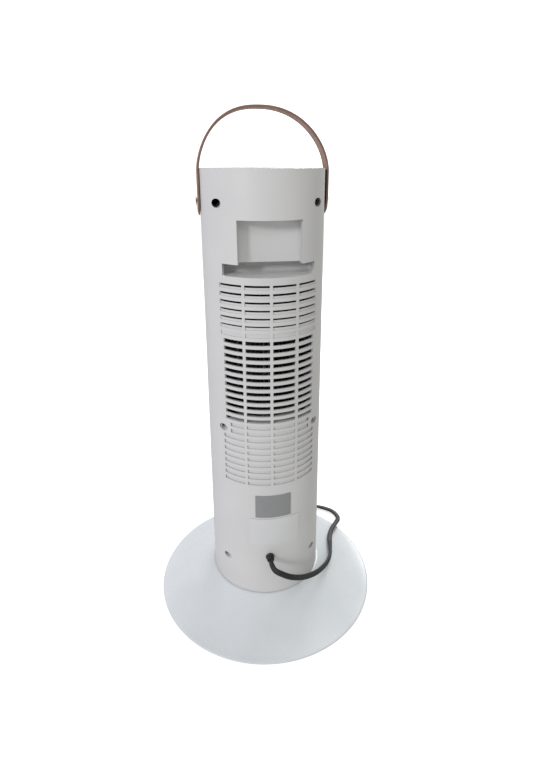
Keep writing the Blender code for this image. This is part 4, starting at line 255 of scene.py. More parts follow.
# steel, zinc plated: bluish and evenly mottled
ZINC = drawn("zinc_plated_steel", "#A9AFB5", "#C9CFD4", (0.30, 0.45), (1.1, 1.1, 1.1))
# brass, bronzed: the rivets and sintered bearings, a dull warm brown
BRONZE = drawn("bronzed_brass", "#7E5B3C", "#A67C55", (0.30, 0.42), (1.4, 1.4, 1.4))
# enamelled copper wire: turns lie side by side, 0.2 mm apart
COPPER = drawn("wound_copper_wire", "#A8552F", "#D07B4C", (0.25, 0.38), (4.0, 4.0, 0.19))
# aluminium foil, rolled: the folded fins of the heater
ALUMINIUM = drawn("rolled_aluminium", "#8F9296", "#B4B7BA", (0.30, 0.42), (0.4, 2.5, 2.5))
# polyester film, metallised: a label that is half metal and half print
FOIL = drawn(
    "metallised_film", "#8E8F90", "#9E9FA0", (0.42, 0.52), (0.31, 0.31, 6.25), 0.006, 0.35
)
print("metal finishes made")

# %% [markdown]
# ### Leather
# Tanned leather has a skin of small pebbles with creases between them, pores in the pebbles
# and stains from handling. A scanned texture could bring all that. Here Voronoi cells, 1.1 mm
# wide, give the pebbles, fine noise the pores and slow noise the stains.

# %% Leather
def leather(name, dark, light, rough, relief_mm):
    material, tree, shader, coords = start_material(name, IOR=1.50, Specular_IOR_Level=0.35)
    stain = add_node(
        tree, "ShaderNodeTexNoise", {"Vector": coords},
        Scale=per_metre(16.7), Detail=4.0, Roughness=0.6, Distortion=0.4,
    ).outputs["Fac"]
    crease = add_node(
        tree, "ShaderNodeTexVoronoi", {"Vector": coords}, {"feature": "DISTANCE_TO_EDGE"},
        Scale=per_metre(1.1),
    ).outputs["Distance"]
    pebble = add_node(
        tree, "ShaderNodeMapRange", {"Value": crease}, From_Min=0.0, From_Max=0.12
    ).outputs["Result"]
    # the tone darkens in the creases between the pebbles: painted shade, laid over the stains
    stain_and_crease_shade = add_node(tree, "ShaderNodeMath", {0: stain, 1: pebble}, {"operation": "MULTIPLY_ADD"})
    stain_and_crease_shade.inputs[2].default_value = -0.15
    pores = add_node(
        tree, "ShaderNodeTexNoise", {"Vector": coords}, Scale=per_metre(0.38), Detail=2.0
    ).outputs["Fac"]
    height = add_node(tree, "ShaderNodeMath", {0: pebble, 1: pores}, {"operation": "ADD"})
    stops = (0.05, dark), (0.6, light)
    tone_from, relief_from = stain_and_crease_shade.outputs["Value"], height.outputs["Value"]
    give_look(tree, shader, tone_from, stops, stain, rough, relief_from, relief_mm)
    return material


# cowhide, dyed and waxed: the strap's outer face
LEATHER = leather("tanned_leather", "#A08274", "#C0A595", (0.48, 0.62), 0.12)
# the same hide, cut and burnished: darker and duller at the edges
LEATHER_EDGE = leather("cut_leather_edge", "#755A50", "#967A6D", (0.62, 0.78), 0.08)
print("leather finishes made")

# %% [markdown]
# ### The cord's sheath
# Soft PVC is drawn over the cores and keeps a fine crosswise ripple. Its real pitch is under
# a millimetre, so it is drawn at 2.9 mm, where it just shows. The ripple has to follow the
# cord round every bend, so this finish reads the cord's own UV map, whose U runs along it in
# metres.

# %% The cord's sheath
RIPPLE_MM = 2.9
CORD_BLACK, tree, shader, coords = start_material("drawn_pvc_black", "UV", IOR=1.53)
ripple_and_highlight = add_node(
    tree, "ShaderNodeTexWave", {"Vector": coords},
    {"bands_direction": "X", "wave_profile": "SIN"},
    Scale=per_metre(RIPPLE_MM) * math.pi / 10, Distortion=1.2, Detail=1.0,
).outputs["Fac"]
# the tone lightens on the ripple's crests: a painted highlight along with the bump
stops = (0.1, "#0E0F10"), (0.9, "#191B1D")
give_look(tree, shader, ripple_and_highlight, stops, ripple_and_highlight, (0.62, 0.46), ripple_and_highlight, 0.12, (0.0, 1.0))
print("materials so far", len(bpy.data.materials))

# %% [markdown]
# ## The cord
# A flat two-core lead leaves the back at the bottom, sags round to the side, lies over the
# base and is stored as a coil on the floor in front, which the tower hides. Cloth or rope
# simulation could drop it there, but the photograph already shows its way, so it is drawn
# along measured points.

# %% Where the cord runs
CORD_WIDTH, CORD_THICKNESS = 0.0074, 0.0042
GIRTH = 0.02  # once round the cord, for its UV map
CORD_EXIT = Vector((0.0035, 0.0754, 0.1025))
CORD_START = Vector((0.0035, 0.0807, 0.1025))
CORD_ROUTE = (
    (0.0030, 0.0890, 0.1020),
    (0.0000, 0.0960, 0.1000),
    (-0.0080, 0.0985, 0.0955),
    (-0.0200, 0.0965, 0.0865),
    (-0.0360, 0.0865, 0.0730),
    (-0.0510, 0.0735, 0.0610),
    (-0.0655, 0.0590, 0.0510),
    (-0.0790, 0.0420, 0.0425),
    (-0.0890, 0.0270, 0.0375),
    (-0.0960, 0.0120, 0.0345),
    (-0.1005, -0.0050, 0.0320),
    (-0.1045, -0.0240, 0.0290),
    (-0.1105, -0.0430, 0.0240),
    (-0.1185, -0.0600, 0.0190),
    (-0.1290, -0.0770, 0.0140),
    (-0.1375, -0.0920, 0.0080),
    (-0.1395, -0.1060, 0.0050),
    (-0.1330, -0.1200, 0.0049),
    (-0.1180, -0.1310, 0.0049),
    (-0.0980, -0.1400, 0.0049),
    (-0.0750, -0.1510, 0.0049),
    (-0.0500, -0.1590, 0.0049),
)
CORD_TILT = 24.0  # how far the hanging loop leans back, in degrees
COIL_MIDDLE = (-0.0271, -0.2140)
COIL_STEP, COIL_INNER, COIL_LOW, COIL_START = 0.0082, 0.0330, 0.0049, 82.0
TURNS_IN, TURNS_CLIMB, TURNS_OUT = 2.25, 0.5, 2.6
print("the cord passes", len(CORD_ROUTE), "points before its coil")

# %% [markdown]
# ### The coil
# A coil that is wound by hand is two flat spirals, one on the other. The lower one runs
# inwards, climbs over half a turn and runs out again on top, where it ends at the plug.

# %% The coil
def coil_centreline(per_turn):
    turns = TURNS_IN + TURNS_CLIMB + TURNS_OUT
    count = round(turns * per_turn)
    points = []
    for k in range(count + 1):
        turn = turns * k / count
        if turn < TURNS_IN:
            radius, z = COIL_INNER + COIL_STEP * (TURNS_IN - turn), COIL_LOW
        elif turn < TURNS_IN + TURNS_CLIMB:
            t = (turn - TURNS_IN) / TURNS_CLIMB
            radius = COIL_INNER - 0.0014 * math.sin(math.pi * t)
            z = COIL_LOW + COIL_STEP * (3 * t**2 - 2 * t**3)
        else:
            radius = COIL_INNER + COIL_STEP * (turn - TURNS_IN - TURNS_CLIMB)
            z = COIL_LOW + COIL_STEP
        angle = math.radians(COIL_START) - 2 * math.pi * turn
        spot = Vector((*COIL_MIDDLE, z))
        points.append(spot + Vector((math.cos(angle), math.sin(angle), 0)) * radius)
    first = points[0] + (points[0] - points[1]).normalized() * CORD_WIDTH
    last = points[-1] + (points[-1] - points[-2]).normalized() * CORD_WIDTH
    return [first, *points, last]


coil = coil_centreline(24)
print("coil of", TURNS_IN + TURNS_CLIMB + TURNS_OUT, "turns")

# %% [markdown]
# ### A smooth line and a flat section
# A Catmull-Rom line passes through every measured point. The section is two round cores
# side by side under one sheath, with a shallow groove between them. A flat cord hangs on
# its edge and lies down on its flat side, so a share says at each point which it does.

# %% Line and section
def smooth_line(points, parts):
    """A Catmull-Rom line through points, with so many parts between each two."""
    route = [2 * points[0] - points[1], *points, 2 * points[-1] - points[-2]]
    line = []
    for a, b, c, d in zip(route, route[1:], route[2:], route[3:]):
        for k in range(parts):
            t = k / parts
            square, cube = 2 * a - 5 * b + 4 * c - d, 3 * b - a - 3 * c + d
            line.append(0.5 * (2 * b + (c - a) * t + square * t**2 + cube * t**3))
    return line + [points[-1]]


def flatness(point, index):
    """0 where the cord stands on its edge, 1 where it lies on its flat side."""
    if index > len(CORD_ROUTE) + 4:
        return 0.0
    lies = min(1.0, max(0.0, (0.006 - point.y) / 0.034))  # once it is on the base
    stands = 0.0
    if point.y < -0.115:  # on the floor it turns up again, towards the coil
        stands = min(1.0, max(0.0, (point.x + 0.128) / 0.060))
    share = max(0.0, lies - stands)
    return share * share * (3 - 2 * share)


def flat_section(sides):
    """Outline of the two-core cord, (across its width, across its thickness)."""
    points = []
    core = CORD_THICKNESS / 2
    apart = CORD_WIDTH / 2 - core
    for k in range(sides):
        turn = 2 * math.pi * k / sides
        u = apart * max(-1.0, min(1.0, math.cos(turn) / 0.35))
        groove = 0.86 if abs(math.cos(turn)) < 0.2 else 1.0
        points.append((u + core * math.cos(turn), core * math.sin(turn) * groove))
    return points


print("section of", len(flat_section(20)), "points")

# %% [markdown]
# ### Sweep
# A curve object with this section as its bevel would twist where the line climbs. So the
# tube is swept in code, with the way of its width given at each station, and its UV map
# gets the length along the cord.

# %% Sweep
def join_rings(mesh, rings, around=True, capped=False):
    """Quads between neighbouring rings, or open rows, each returned with its place."""
    quads = []
    for k, (first, second) in enumerate(zip(rings, rings[1:])):
        for i in range(len(first) if around else len(first) - 1):
            j = (i + 1) % len(first)
            quads.append((k, i, mesh.faces.new((first[i], first[j], second[j], second[i]))))
    if capped:
        mesh.faces.new(rings[0][::-1])
        mesh.faces.new(rings[-1])
    return quads


def run_at(line, k):
    """The way a line runs at one of its points."""
    return (line[min(k + 1, len(line) - 1)] - line[max(k - 1, 0)]).normalized()


def sweep(mesh, line, widths, section):
    """A tube of a section along a line, whose width at each station points along widths."""
    layer = mesh.loops.layers.uv.new("length")
    rings, along = [], [0.0]
    for k, point in enumerate(line):
        run = run_at(line, k)
        wide = (widths[k] - run * widths[k].dot(run)).normalized()
        thick = run.cross(wide)
        rings.append([mesh.verts.new(point + wide * u + thick * v) for u, v in section])
        if k:
            along.append(along[-1] + (point - line[k - 1]).length)
    for k, i, face in join_rings(mesh, rings, capped=True):
        places = ((k, i), (k, i + 1), (k + 1, i + 1), (k + 1, i))
        for loop, (a, b) in zip(face.loops, places):
            loop[layer].uv = (along[a], b / len(section) * GIRTH)
    return along[-1]


print("sweep ready")

# %% [markdown]
# ### Finishing
# Every finished piece is put on the body that it moves with and takes the place of the CAD
# nodes that it stands for, which are hidden.

# %% Put a piece in its place
def select_only(shapes):
    bpy.ops.object.select_all(action="DESELECT")
    for shape in shapes:
        shape.select_set(True)
    bpy.context.view_layer.objects.active = shapes[0]


def settle(made, body, nodes):
    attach(made, body)
    if nodes:
        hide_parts(*nodes)
    print(made.name, "with", len(made.data.polygons), "faces rides on", body)


print("pieces can be put in their place")

# %% [markdown]
# ### A mesh that is written in code
# A cord, a strap that hugs a curve and a wall with hundreds of slots can't be reached with
# operators, so their vertices are set one by one, and each says so where it is made. A real
# edge is never sharp: a mould leaves a radius that catches the light, and without it a render
# looks like cut card. So sharp edges get a weight for a bevel modifier, which is applied.

# %% Finish a coded mesh
def apply_modifiers(made):
    select_only([made])
    for modifier in list(made.modifiers):
        bpy.ops.object.modifier_apply(modifier=modifier.name)


def mark_sharp(mesh, limit):
    """Gives the edges that turn by more than a limit a bevel weight, unless they have one."""
    layer = mesh.edges.layers.float.get("bevel_weight_edge")
    if layer is None:
        layer = mesh.edges.layers.float.new("bevel_weight_edge")
    mesh.normal_update()
    for edge in mesh.edges:
        if edge[layer] == 0 and len(edge.link_faces) == 2:
            if edge.calc_face_angle() > math.radians(limit):
                edge[layer] = 1.0


def finish_mesh(name, mesh, materials, nodes, bevel=None, segments=2, sharp=38.0):
    """Makes a piece on the tower from a coded mesh, with its rounding set edge by edge."""
    bmesh.ops.recalc_face_normals(mesh, faces=mesh.faces)
    if bevel:
        mark_sharp(mesh, sharp)
    for face in mesh.faces:
        face.smooth = True
    data = bpy.data.meshes.new(name)
    mesh.to_mesh(data)
    mesh.free()
    for material in materials:
        data.materials.append(material)
    made = bpy.data.objects.new(name, data)
    bpy.context.scene.collection.objects.link(made)
    if bevel:
        rounding = made.modifiers.new("rounded", "BEVEL")
        rounding.limit_method = "WEIGHT"
        rounding.width, rounding.segments = bevel, segments
        rounding.use_clamp_overlap = rounding.harden_normals = True
        apply_modifiers(made)
    else:
        data.set_sharp_from_angle(angle=math.radians(sharp))
    settle(made, "tower", nodes)
    return made


print("coded meshes can be finished")

# %% [markdown]
# ### The cord on its way
# The measured points, the coil and how flat the cord lies at each of them are smoothed in
# one go. Lying flat, the cord is lower than on its edge, so there its middle sinks and it
# still rests on the base or the floor.

# %% Lay the cord
route = [CORD_START, CORD_START + Vector((0, CORD_WIDTH / 3, 0))]
route += [Vector(p) for p in CORD_ROUTE] + [coil[0]]
stations = route + coil[1:]
rolls = [flatness(p, k) for k, p in enumerate(stations)]
sunk = (CORD_WIDTH - CORD_THICKNESS) / 2 * 0.9
stations = [p - Vector((0, 0, sunk * roll)) for p, roll in zip(stations, rolls)]
PARTS = 4
cord_line = smooth_line(stations, PARTS)
cord_widths = []
for k, point in enumerate(cord_line):
    share = k / PARTS
    low = min(int(share), len(rolls) - 2)
    roll = rolls[low] + (rolls[low + 1] - rolls[low]) * (share - low)
    run = run_at(cord_line, k)
    upright = (Vector((0, 0, 1)) - run * run.z).normalized()
    level = run.cross(upright)
    hang = min(1.0, max(0.0, (13.0 - share) / 6.0))  # it leans only in its hanging loop
    turn = math.radians(CORD_TILT) * hang * (1 - roll) + math.pi / 2 * roll
    cord_widths.append(upright * math.cos(turn) - level * math.sin(turn))
mesh = bmesh.new()
cord_length = sweep(mesh, cord_line, cord_widths, flat_section(20))
power_cord = finish_mesh(
    "power_cord", mesh, [CORD_BLACK], ("cord_tube", "cord_coil"), sharp=75.0
)
print("cord length", round(cord_length, 3), "m")

# %% [markdown]
# ### Plug
# A moulded plug is one body with a ribbed neck, a waist for the fingers and a flat face. A
# bevelled box has no waist, so this one is lofted: rounded sections, each squarer than the
# last, are set along its axis and joined ring to ring.

# %% Sections of the plug
plug_along = (coil[-1] - coil[-2]).normalized()
plug_side = Vector((-plug_along.y, plug_along.x, 0)).normalized()
plug_start = coil[-1] + plug_along * GAP
PLUG_DROP = plug_start.z - 0.0085 - GAP


def super_ellipse(half_width, half_height, power, sides):
    points = []
    for k in range(sides):
        turn = 2 * math.pi * (k + 0.5) / sides
        c, s = math.cos(turn), math.sin(turn)
        u = half_width * math.copysign(abs(c) ** (2 / power), c)
        points.append((u, half_height * math.copysign(abs(s) ** (2 / power), s)))
    return points


print("the plug drops by", round(PLUG_DROP, 4), "m to the floor")

# %% [markdown]
# Each station below is a place along the plug, half a width, half a height, how far it has
# dropped from the cord's end, and how square its section is.

# %% Plug body
mesh = bmesh.new()
rings = []
NECK_LONG = 0.0240
plug_stations = [(0.0, 0.0032, 0.0032, 0.0, 2.0), (0.0006, 0.0035, 0.0035, 0.0, 2.0)]
for k in range(9):  # ribbed neck
    place = 0.0016 + 0.0024 * k
    fall = PLUG_DROP * (place / NECK_LONG) ** 1.3
    size = 0.0035 + 0.0010 * place / NECK_LONG
    for further, thinner in ((0.0, 0.0), (0.0007, 0.0006), (0.0015, 0.0006)):
        plug_stations.append((place + further, size - thinner, size - thinner, fall, 2.0))
for place, half_width, half_height, power in (
    (NECK_LONG, 0.0046, 0.0045, 2.0),
    (0.0262, 0.0060, 0.0052, 2.4),
    (0.0300, 0.0094, 0.0066, 2.8),
    (0.0345, 0.0122, 0.0080, 3.2),
    (0.0380, 0.0128, 0.0084, 3.6),
    (0.0410, 0.0122, 0.0080, 4.0),
    (0.0440, 0.0118, 0.0078, 4.0),
    (0.0480, 0.0120, 0.0079, 4.0),
    (0.0520, 0.0129, 0.0085, 4.0),
    (0.0570, 0.0129, 0.0085, 4.0),
    (0.0578, 0.0124, 0.0080, 4.0),
    (0.0580, 0.0116, 0.0072, 4.0),
):
    plug_stations.append((place, half_width, half_height, PLUG_DROP, power))
for distance, half_width, half_height, fall, power in plug_stations:
    middle = plug_start + plug_along * distance
    outline = super_ellipse(half_width, half_height, power, 40)
    spots = [middle + plug_side * u + Vector((0, 0, v - fall)) for u, v in outline]
    rings.append([mesh.verts.new(spot) for spot in spots])
join_rings(mesh, rings, capped=True)
plug_body = finish_mesh("plug_body", mesh, [BLACK], ("plug",), sharp=50.0)

# %% [markdown]
# ### Ways of making
# Most of the other pieces are made as by hand: a primitive is added at its size and place,
# shaped in edit mode and finished with modifiers. Every operator acts on all that is
# selected, so a shape is started with nothing else selected, and its faces or edges are then
# picked in code.

# %% Start a shape and pick its parts
def start_shape(name, primitive, scale=(1, 1, 1), **settings):
    """A primitive in edit mode, all selected, with its place in its mesh."""
    bpy.ops.object.select_all(action="DESELECT")
    primitive(**settings)
    made = bpy.context.object
    made.name = made.data.name = name
    made.scale = scale
    bpy.ops.object.transform_apply(location=True, rotation=True, scale=True)
    bpy.ops.object.mode_set(mode="EDIT")
    bpy.ops.mesh.select_mode(type="VERT")
    bpy.ops.mesh.select_all(action="SELECT")
    return made


def start_box(name, size, place, turn=(0, 0, 0)):
    """A box in edit mode, by its size, its middle and its turn."""
    return start_shape(
        name, bpy.ops.mesh.primitive_cube_add, size, size=1, location=place, rotation=turn
    )


def pick(made, kind, wanted):
    """Selects the faces or edges of the shape in edit mode that a test wants."""
    bpy.ops.mesh.select_mode(type=kind)
    bpy.ops.mesh.select_all(action="DESELECT")
    mesh = bmesh.from_edit_mesh(made.data)
    for part in mesh.faces if kind == "FACE" else mesh.edges:
        if wanted(part):
            part.select_set(True)
    bmesh.update_edit_mesh(made.data)


def close_shape():
    """Merges doubles, turns the faces outwards and leaves edit mode."""
    bpy.ops.mesh.select_all(action="SELECT")
    bpy.ops.mesh.remove_doubles(threshold=1e-6)
    bpy.ops.mesh.normals_make_consistent(inside=False)
    bpy.ops.object.mode_set(mode="OBJECT")


print("primitives are ready")

# %% [markdown]
# What repeats is made once and copied, each copy with its own mesh. A hole is cut with a
# tool of its own shape, as a drill would cut it.

# %% Copy, join and cut
def copy_shape(shape, name, move=(0, 0, 0), turn=(0, 0, 0)):
    """A copy with its own mesh, turned and moved, and its place applied."""
    copy = shape.copy()
    copy.data = shape.data.copy()
    copy.name = copy.data.name = name
    bpy.context.scene.collection.objects.link(copy)
    copy.location, copy.rotation_euler = move, turn
    select_only([copy])
    bpy.ops.object.transform_apply(location=True, rotation=True, scale=True)
    return copy


def join_shapes(name, shapes):
    select_only(shapes)
    bpy.ops.object.join()
    shapes[0].name = shapes[0].data.name = name
    return shapes[0]


def cut_away(made, tool):
    """Takes the shape of a tool out of a piece."""
    cutter = made.modifiers.new("cut", "BOOLEAN")
    cutter.object, cutter.operation, cutter.solver = tool, "DIFFERENCE", "EXACT"
    apply_modifiers(made)
    bpy.data.objects.remove(tool, do_unlink=True)


print("copies, joints and cuts are ready")

# %% [markdown]
# A finished shape gets its material. Where it asks for a bevel, every edge that turns by more
# than an angle is rounded. Then it is shaded smooth up to that angle.

# %% Finish a shape
def finish_shape(made, material, nodes, body="tower", bevel=None, sharp=38.0):
    """Gives a shape its finish, its rounded edges, its shading and its place."""
    made.data.materials.clear()
    made.data.materials.append(material)
    if bevel:
        rounding = made.modifiers.new("rounded", "BEVEL")
        rounding.limit_method, rounding.angle_limit = "ANGLE", math.radians(sharp)
        rounding.width, rounding.segments = bevel, 2
        apply_modifiers(made)
    select_only([made])
    bpy.ops.object.shade_smooth_by_angle(angle=math.radians(sharp))
    settle(made, body, nodes)


print("shapes can be finished")

# %% [markdown]
# ### Plug blades
# A two-pin plug has two flat blades of plated sheet with a rounded tip and a hole. Each is a
# box here: its two tip edges are bevelled round and a cylinder cuts the hole. The second
# blade is a copy of the first.

# %% Plug blades
BLADE_LONG, BLADE_THICK, BLADE_WIDE, BLADE_PITCH = 0.0174, 0.0015, 0.0063, 0.0127
BLADE_FOOT = 0.0571  # where it starts, along the plug
plug_turn = math.atan2(plug_along.y, plug_along.x)


def on_plug(along, across):
    return plug_start + plug_along * along + plug_side * across - Vector((0, 0, PLUG_DROP))


first_blade = start_box(
    "plug_blades", (BLADE_LONG, BLADE_THICK, BLADE_WIDE),
    on_plug(BLADE_FOOT + BLADE_LONG / 2, -BLADE_PITCH / 2), (0, 0, plug_turn),
)


def at_tip(edge):
    first, last = (vertex.co for vertex in edge.verts)
    across = abs((last - first).normalized().dot(plug_side)) > 0.9
    tip = on_plug(BLADE_FOOT + BLADE_LONG, 0)
    return across and ((first + last) / 2 - tip).dot(plug_along) > -0.001


pick(first_blade, "EDGE", at_tip)
bpy.ops.mesh.bevel(offset=0.0019, segments=4)
close_shape()
hole_tool = start_shape(
    "hole_tool", bpy.ops.mesh.primitive_cylinder_add, vertices=24, radius=0.0016, depth=0.006,
    location=on_plug(BLADE_FOOT + 0.0130, -BLADE_PITCH / 2), rotation=(math.pi / 2, 0, plug_turn),
)
close_shape()
cut_away(first_blade, hole_tool)
second_blade = copy_shape(first_blade, "second_blade", plug_side * BLADE_PITCH)
plug_blades = join_shapes("plug_blades", [first_blade, second_blade])
finish_shape(plug_blades, ZINC, (), bevel=0.00012)

# %% [markdown]
# ### The lathe
# Round parts are turned: their profile is drawn point by point from a single vertex, which
# extrude carries along, and spin takes it round the axis. Stacked cylinders would need a
# boolean at each step. The lathe gives every fillet in one go, and merging the doubles
# closes the seam and the poles.

# %% The lathe
def pull(way):
    """Extrudes what is selected and moves it that way."""
    bpy.ops.mesh.extrude_region_move(TRANSFORM_OT_translate={"value": way})


def draw_line(name, points):
    """In edit mode: a single vertex, drawn out from point to point."""
    made = start_shape(name, bpy.ops.mesh.primitive_plane_add, size=0.001, location=points[0])
    bpy.ops.mesh.merge(type="CENTER")
    for before, after in zip(points, points[1:]):
        pull(Vector(after) - Vector(before))
    bpy.ops.mesh.select_all(action="SELECT")
    return made


def turned(name, profile, sides, middle=(0.0, 0.0), axis="Z"):
    """A profile of (radius, place along the axis), turned about an axis through middle."""
    u, v = middle
    spots = {
        "X": [(along, u + radius, v) for radius, along in profile],
        "Y": [(u + radius, along, v) for radius, along in profile],
        "Z": [(u + radius, v, along) for radius, along in profile],
    }[axis]
    centre = {"X": (0, u, v), "Y": (u, 0, v), "Z": (u, v, 0)}[axis]
    made = draw_line(name, spots)
    bpy.ops.mesh.spin(
        steps=sides, angle=2 * math.pi, center=centre, axis=[float(axis == a) for a in "XYZ"]
    )
    close_shape()
    return made


print("lathe ready")

# %% [markdown]
# ### Strain relief
# The bush grips the cord in its hole and has a stub with two grooves, so that it bends with
# the cord. It is round all the way, so it is turned.

# %% Strain relief
profile = [(0, 0.0548), (0.0036, 0.0548), (0.0040, 0.0560), (0.0042, 0.0660), (0.0044, 0.0684)]
profile += [(0.0044, 0.0734), (0.0054, 0.0734), (0.0056, 0.0737), (0.0056, 0.0748)]
profile += [(0.0053, 0.0752), (0.0049, 0.0755), (0.0048, 0.0764), (0.0045, 0.0766)]
profile += [(0.0045, 0.0771), (0.0049, 0.0773), (0.0048, 0.0780), (0.0043, 0.0782)]
profile += [(0.0043, 0.0787), (0.0046, 0.0789), (0.0045, 0.0800), (0.0041, 0.0804), (0, 0.0804)]
strain_relief = turned("cord_bush", profile, 40, (CORD_EXIT.x, CORD_EXIT.z), "Y")
finish_shape(strain_relief, BLACK, ("strain_relief",), sharp=35.0)

# %% [markdown]
# ### Cable tie
# The coil is held by a band of woven tape. Its path round the cord's turns is a rectangle
# with round corners: a plane whose corners are bevelled. Only its outline is kept, pulled out
# to the width of the tape and given a thickness.

# %% Cable tie
def thicken(made, thickness, side=0.0):
    sheet = made.modifiers.new("sheet", "SOLIDIFY")
    sheet.thickness, sheet.offset = thickness, side
    apply_modifiers(made)


tie_turn = math.radians(40.0)
tie_out = Vector((math.cos(tie_turn), math.sin(tie_turn), 0))
tie_side = Vector((-tie_out.y, tie_out.x, 0))
inner = COIL_INNER - CORD_WIDTH / 2 - GAP
outer = COIL_INNER + COIL_STEP * TURNS_OUT + CORD_WIDTH / 2 + GAP
TAPE_LOW, TAPE_WIDTH = 0.0009, 0.0080
low, high = TAPE_LOW, TAPE_LOW + CORD_WIDTH + COIL_STEP + 2 * GAP
cable_tie = start_shape(
    "cable_tie", bpy.ops.mesh.primitive_plane_add, (outer - inner, high - low, 1), size=1,
    location=Vector((*COIL_MIDDLE, (low + high) / 2))
    + tie_out * (inner + outer) / 2 - tie_side * TAPE_WIDTH / 2,
    rotation=(math.pi / 2, 0, tie_turn),
)
bpy.ops.mesh.bevel(offset=0.0022, segments=6, affect="VERTICES")
bpy.ops.mesh.select_all(action="SELECT")
bpy.ops.mesh.delete(type="ONLY_FACE")
bpy.ops.mesh.select_all(action="SELECT")
pull(tie_side * TAPE_WIDTH)
close_shape()
thicken(cable_tie, 0.0008, 1.0)
finish_shape(cable_tie, TIE_BLACK, ("cord_tie",), bevel=0.0002, sharp=60.0)

# %% [markdown]
# ### The cord's middle line
# The points along the middle of the cord are listed as tuples.

[tuple(p) for p in cord_line]

# %% [markdown]
# ## Walls on a cone
# The tower's walls are sheets of plastic with windows and slots in them. Booleans could cut
# the slots out of a thick cone, but 87 of them leave long thin faces that spoil every bevel.
# So a wall is a grid of columns and levels: each place in the grid is solid, or a hole
# through the wall, or a patch where something else makes the surface.

# %% Grid walls
def steps(first, last, size):
    """Even steps from first up to, but not with, last, none longer than size."""
    count = max(1, math.ceil((last - first) / size - 1e-9))
    return [first + (last - first) * k / count for k in range(count)]


def angle_at(column, z):
    """The angle of a column at a height: a column is an angle, or one that leans."""
    return column(z) if callable(column) else column


def wall(mesh, columns, levels, state, outer, thickness):
    """A wall round the tower. state(i, j) is "solid", "slot" for a hole through the wall,
    or "patch" where something else makes the surface. Returns the corner of a grid place."""
    made = {}

    def corner(i, j, inside=False):
        if (i, j, inside) not in made:
            z = levels[j]
            angle = angle_at(columns[i], z)
            depth = thickness(angle, z) if callable(thickness) else thickness
            radius = outer(z) - (depth if inside else 0)
            made[i, j, inside] = mesh.verts.new(on_tower(radius, angle, z))
        return made[i, j, inside]

    def kind(i, j):
        if 0 <= i < len(columns) - 1 and 0 <= j < len(levels) - 1:
            return state(i, j)
        return "slot"

    for i in range(len(columns) - 1):
        for j in range(len(levels) - 1):
            if kind(i, j) != "solid":
                continue
            ring = ((i, j), (i + 1, j), (i + 1, j + 1), (i, j + 1))
            mesh.faces.new([corner(a, b) for a, b in ring])
            mesh.faces.new([corner(a, b, True) for a, b in reversed(ring)])
            neighbours = ((i, j - 1), (i + 1, j), (i, j + 1), (i - 1, j))
            for neighbour, a, b in zip(neighbours, ring, ring[1:] + ring[:1]):
                if kind(*neighbour) == "slot":
                    mesh.faces.new((corner(*b), corner(*a), corner(*a, True), corner(*b, True)))
    return corner


print("walls ready")

# %% [markdown]
# ## The back half of the tower
# This is the piece that the photograph is about: 29 rows of slots with two ribs, six screw
# bores and the pocket for the remote control. One grid of columns and levels carries the
# slots. The bores and the pocket are patches in it, made of the same vertices, so that every
# edge can be rounded. Edit-mode operators can't lay such a grid on a cone, so it is code.

# %% Sizes of the back
SLOT_TOP, SLOT_PITCH, SLOT_HEIGHT, SLOT_ROWS = 0.4529, 0.00843, 0.0046, 29
OPEN_ROWS, SHORT_ROWS = range(7, 19), (19, 20)  # before the window; beside the middle screws
SLOT_END, OPEN_END, SHORT_END = 50.0, 46.8, 41.0  # in degrees from the middle of the back
BORE_SIDE, THIN_END = 56.0, 62.0
RIBS, RIB_HALF = (0.0, 25.2), 1.35
SLOT_WALL, THIN_LOW, THIN_HIGH = 0.0011, 0.2035, 0.4570
WINDOW_HALF, WINDOW_LOW, WINDOW_HIGH = 46.5, 0.2975, 0.3935
RECESS_HALF, RECESS_TOP, RECESS_BACK = 0.0325, 0.5145, 0.0430
POCKET_HALF, POCKET_TOP, POCKET_FLOOR, POCKET_BACK = 0.0476, 0.4725, 0.4605, 0.0230
POCKET_CORNER = 0.0040
BORE_RADIUS, BORE_SEAT, SHANK_HOLE = 0.0043, 0.0080, 0.0019
print(SLOT_ROWS, "rows of slots,", SLOT_PITCH, "m apart")

# %% [markdown]
# ### Columns
# Along the slots every column stands at its own angle. Above them the columns at the pocket
# and the recess slide, to stay at one distance across, because these openings have upright
# sides.

# %% Columns of the back
def sliding(low_angle, x):
    """A column at an angle along the slots and at a distance across above them."""

    def angle(z):
        if z <= SLOT_TOP:
            return math.copysign(low_angle, x)
        return math.degrees(math.asin(x / tower_radius(z)))

    return angle


def mirrored(half):
    """Columns on both sides of the middle, from those on the +X side."""
    left = []
    for column in reversed(half):
        if callable(column):
            left.append(lambda z, column=column: -column(z))
        else:
            left.append(-column)
    return left + list(half)


rib_edges = [RIBS[1] - RIB_HALF, RIBS[1] + RIB_HALF]
RECESS_SIDE, POCKET_SIDE = 29.3, 45.5  # where their columns stand below them, in degrees
half_columns = steps(RIB_HALF, rib_edges[0], 2.9) + rib_edges
half_columns += [sliding(RECESS_SIDE, RECESS_HALF), 32.2, 35.1, 38.1]
half_columns += [sliding(SHORT_END, POCKET_HALF - POCKET_CORNER), 43.2]
half_columns += [sliding(POCKET_SIDE, POCKET_HALF), OPEN_END, SLOT_END, 53.0, BORE_SIDE, 59.0]
half_columns += steps(THIN_END, SEAM, 3.3) + [SEAM]
columns = mirrored(half_columns)
BELOW = 0.3  # a height at which no column leans


def column_at(angle):
    """Index of the column that passes nearest to an angle, below the pocket."""
    return min(range(len(columns)), key=lambda k: abs(angle_at(columns[k], BELOW) - angle))


print(len(columns), "columns")

# %% [markdown]
# ### Levels
# Each row of slots needs a level at its foot and one at its top. Between the rows and above
# them the levels stand where a bore, the pocket or the recess begins.

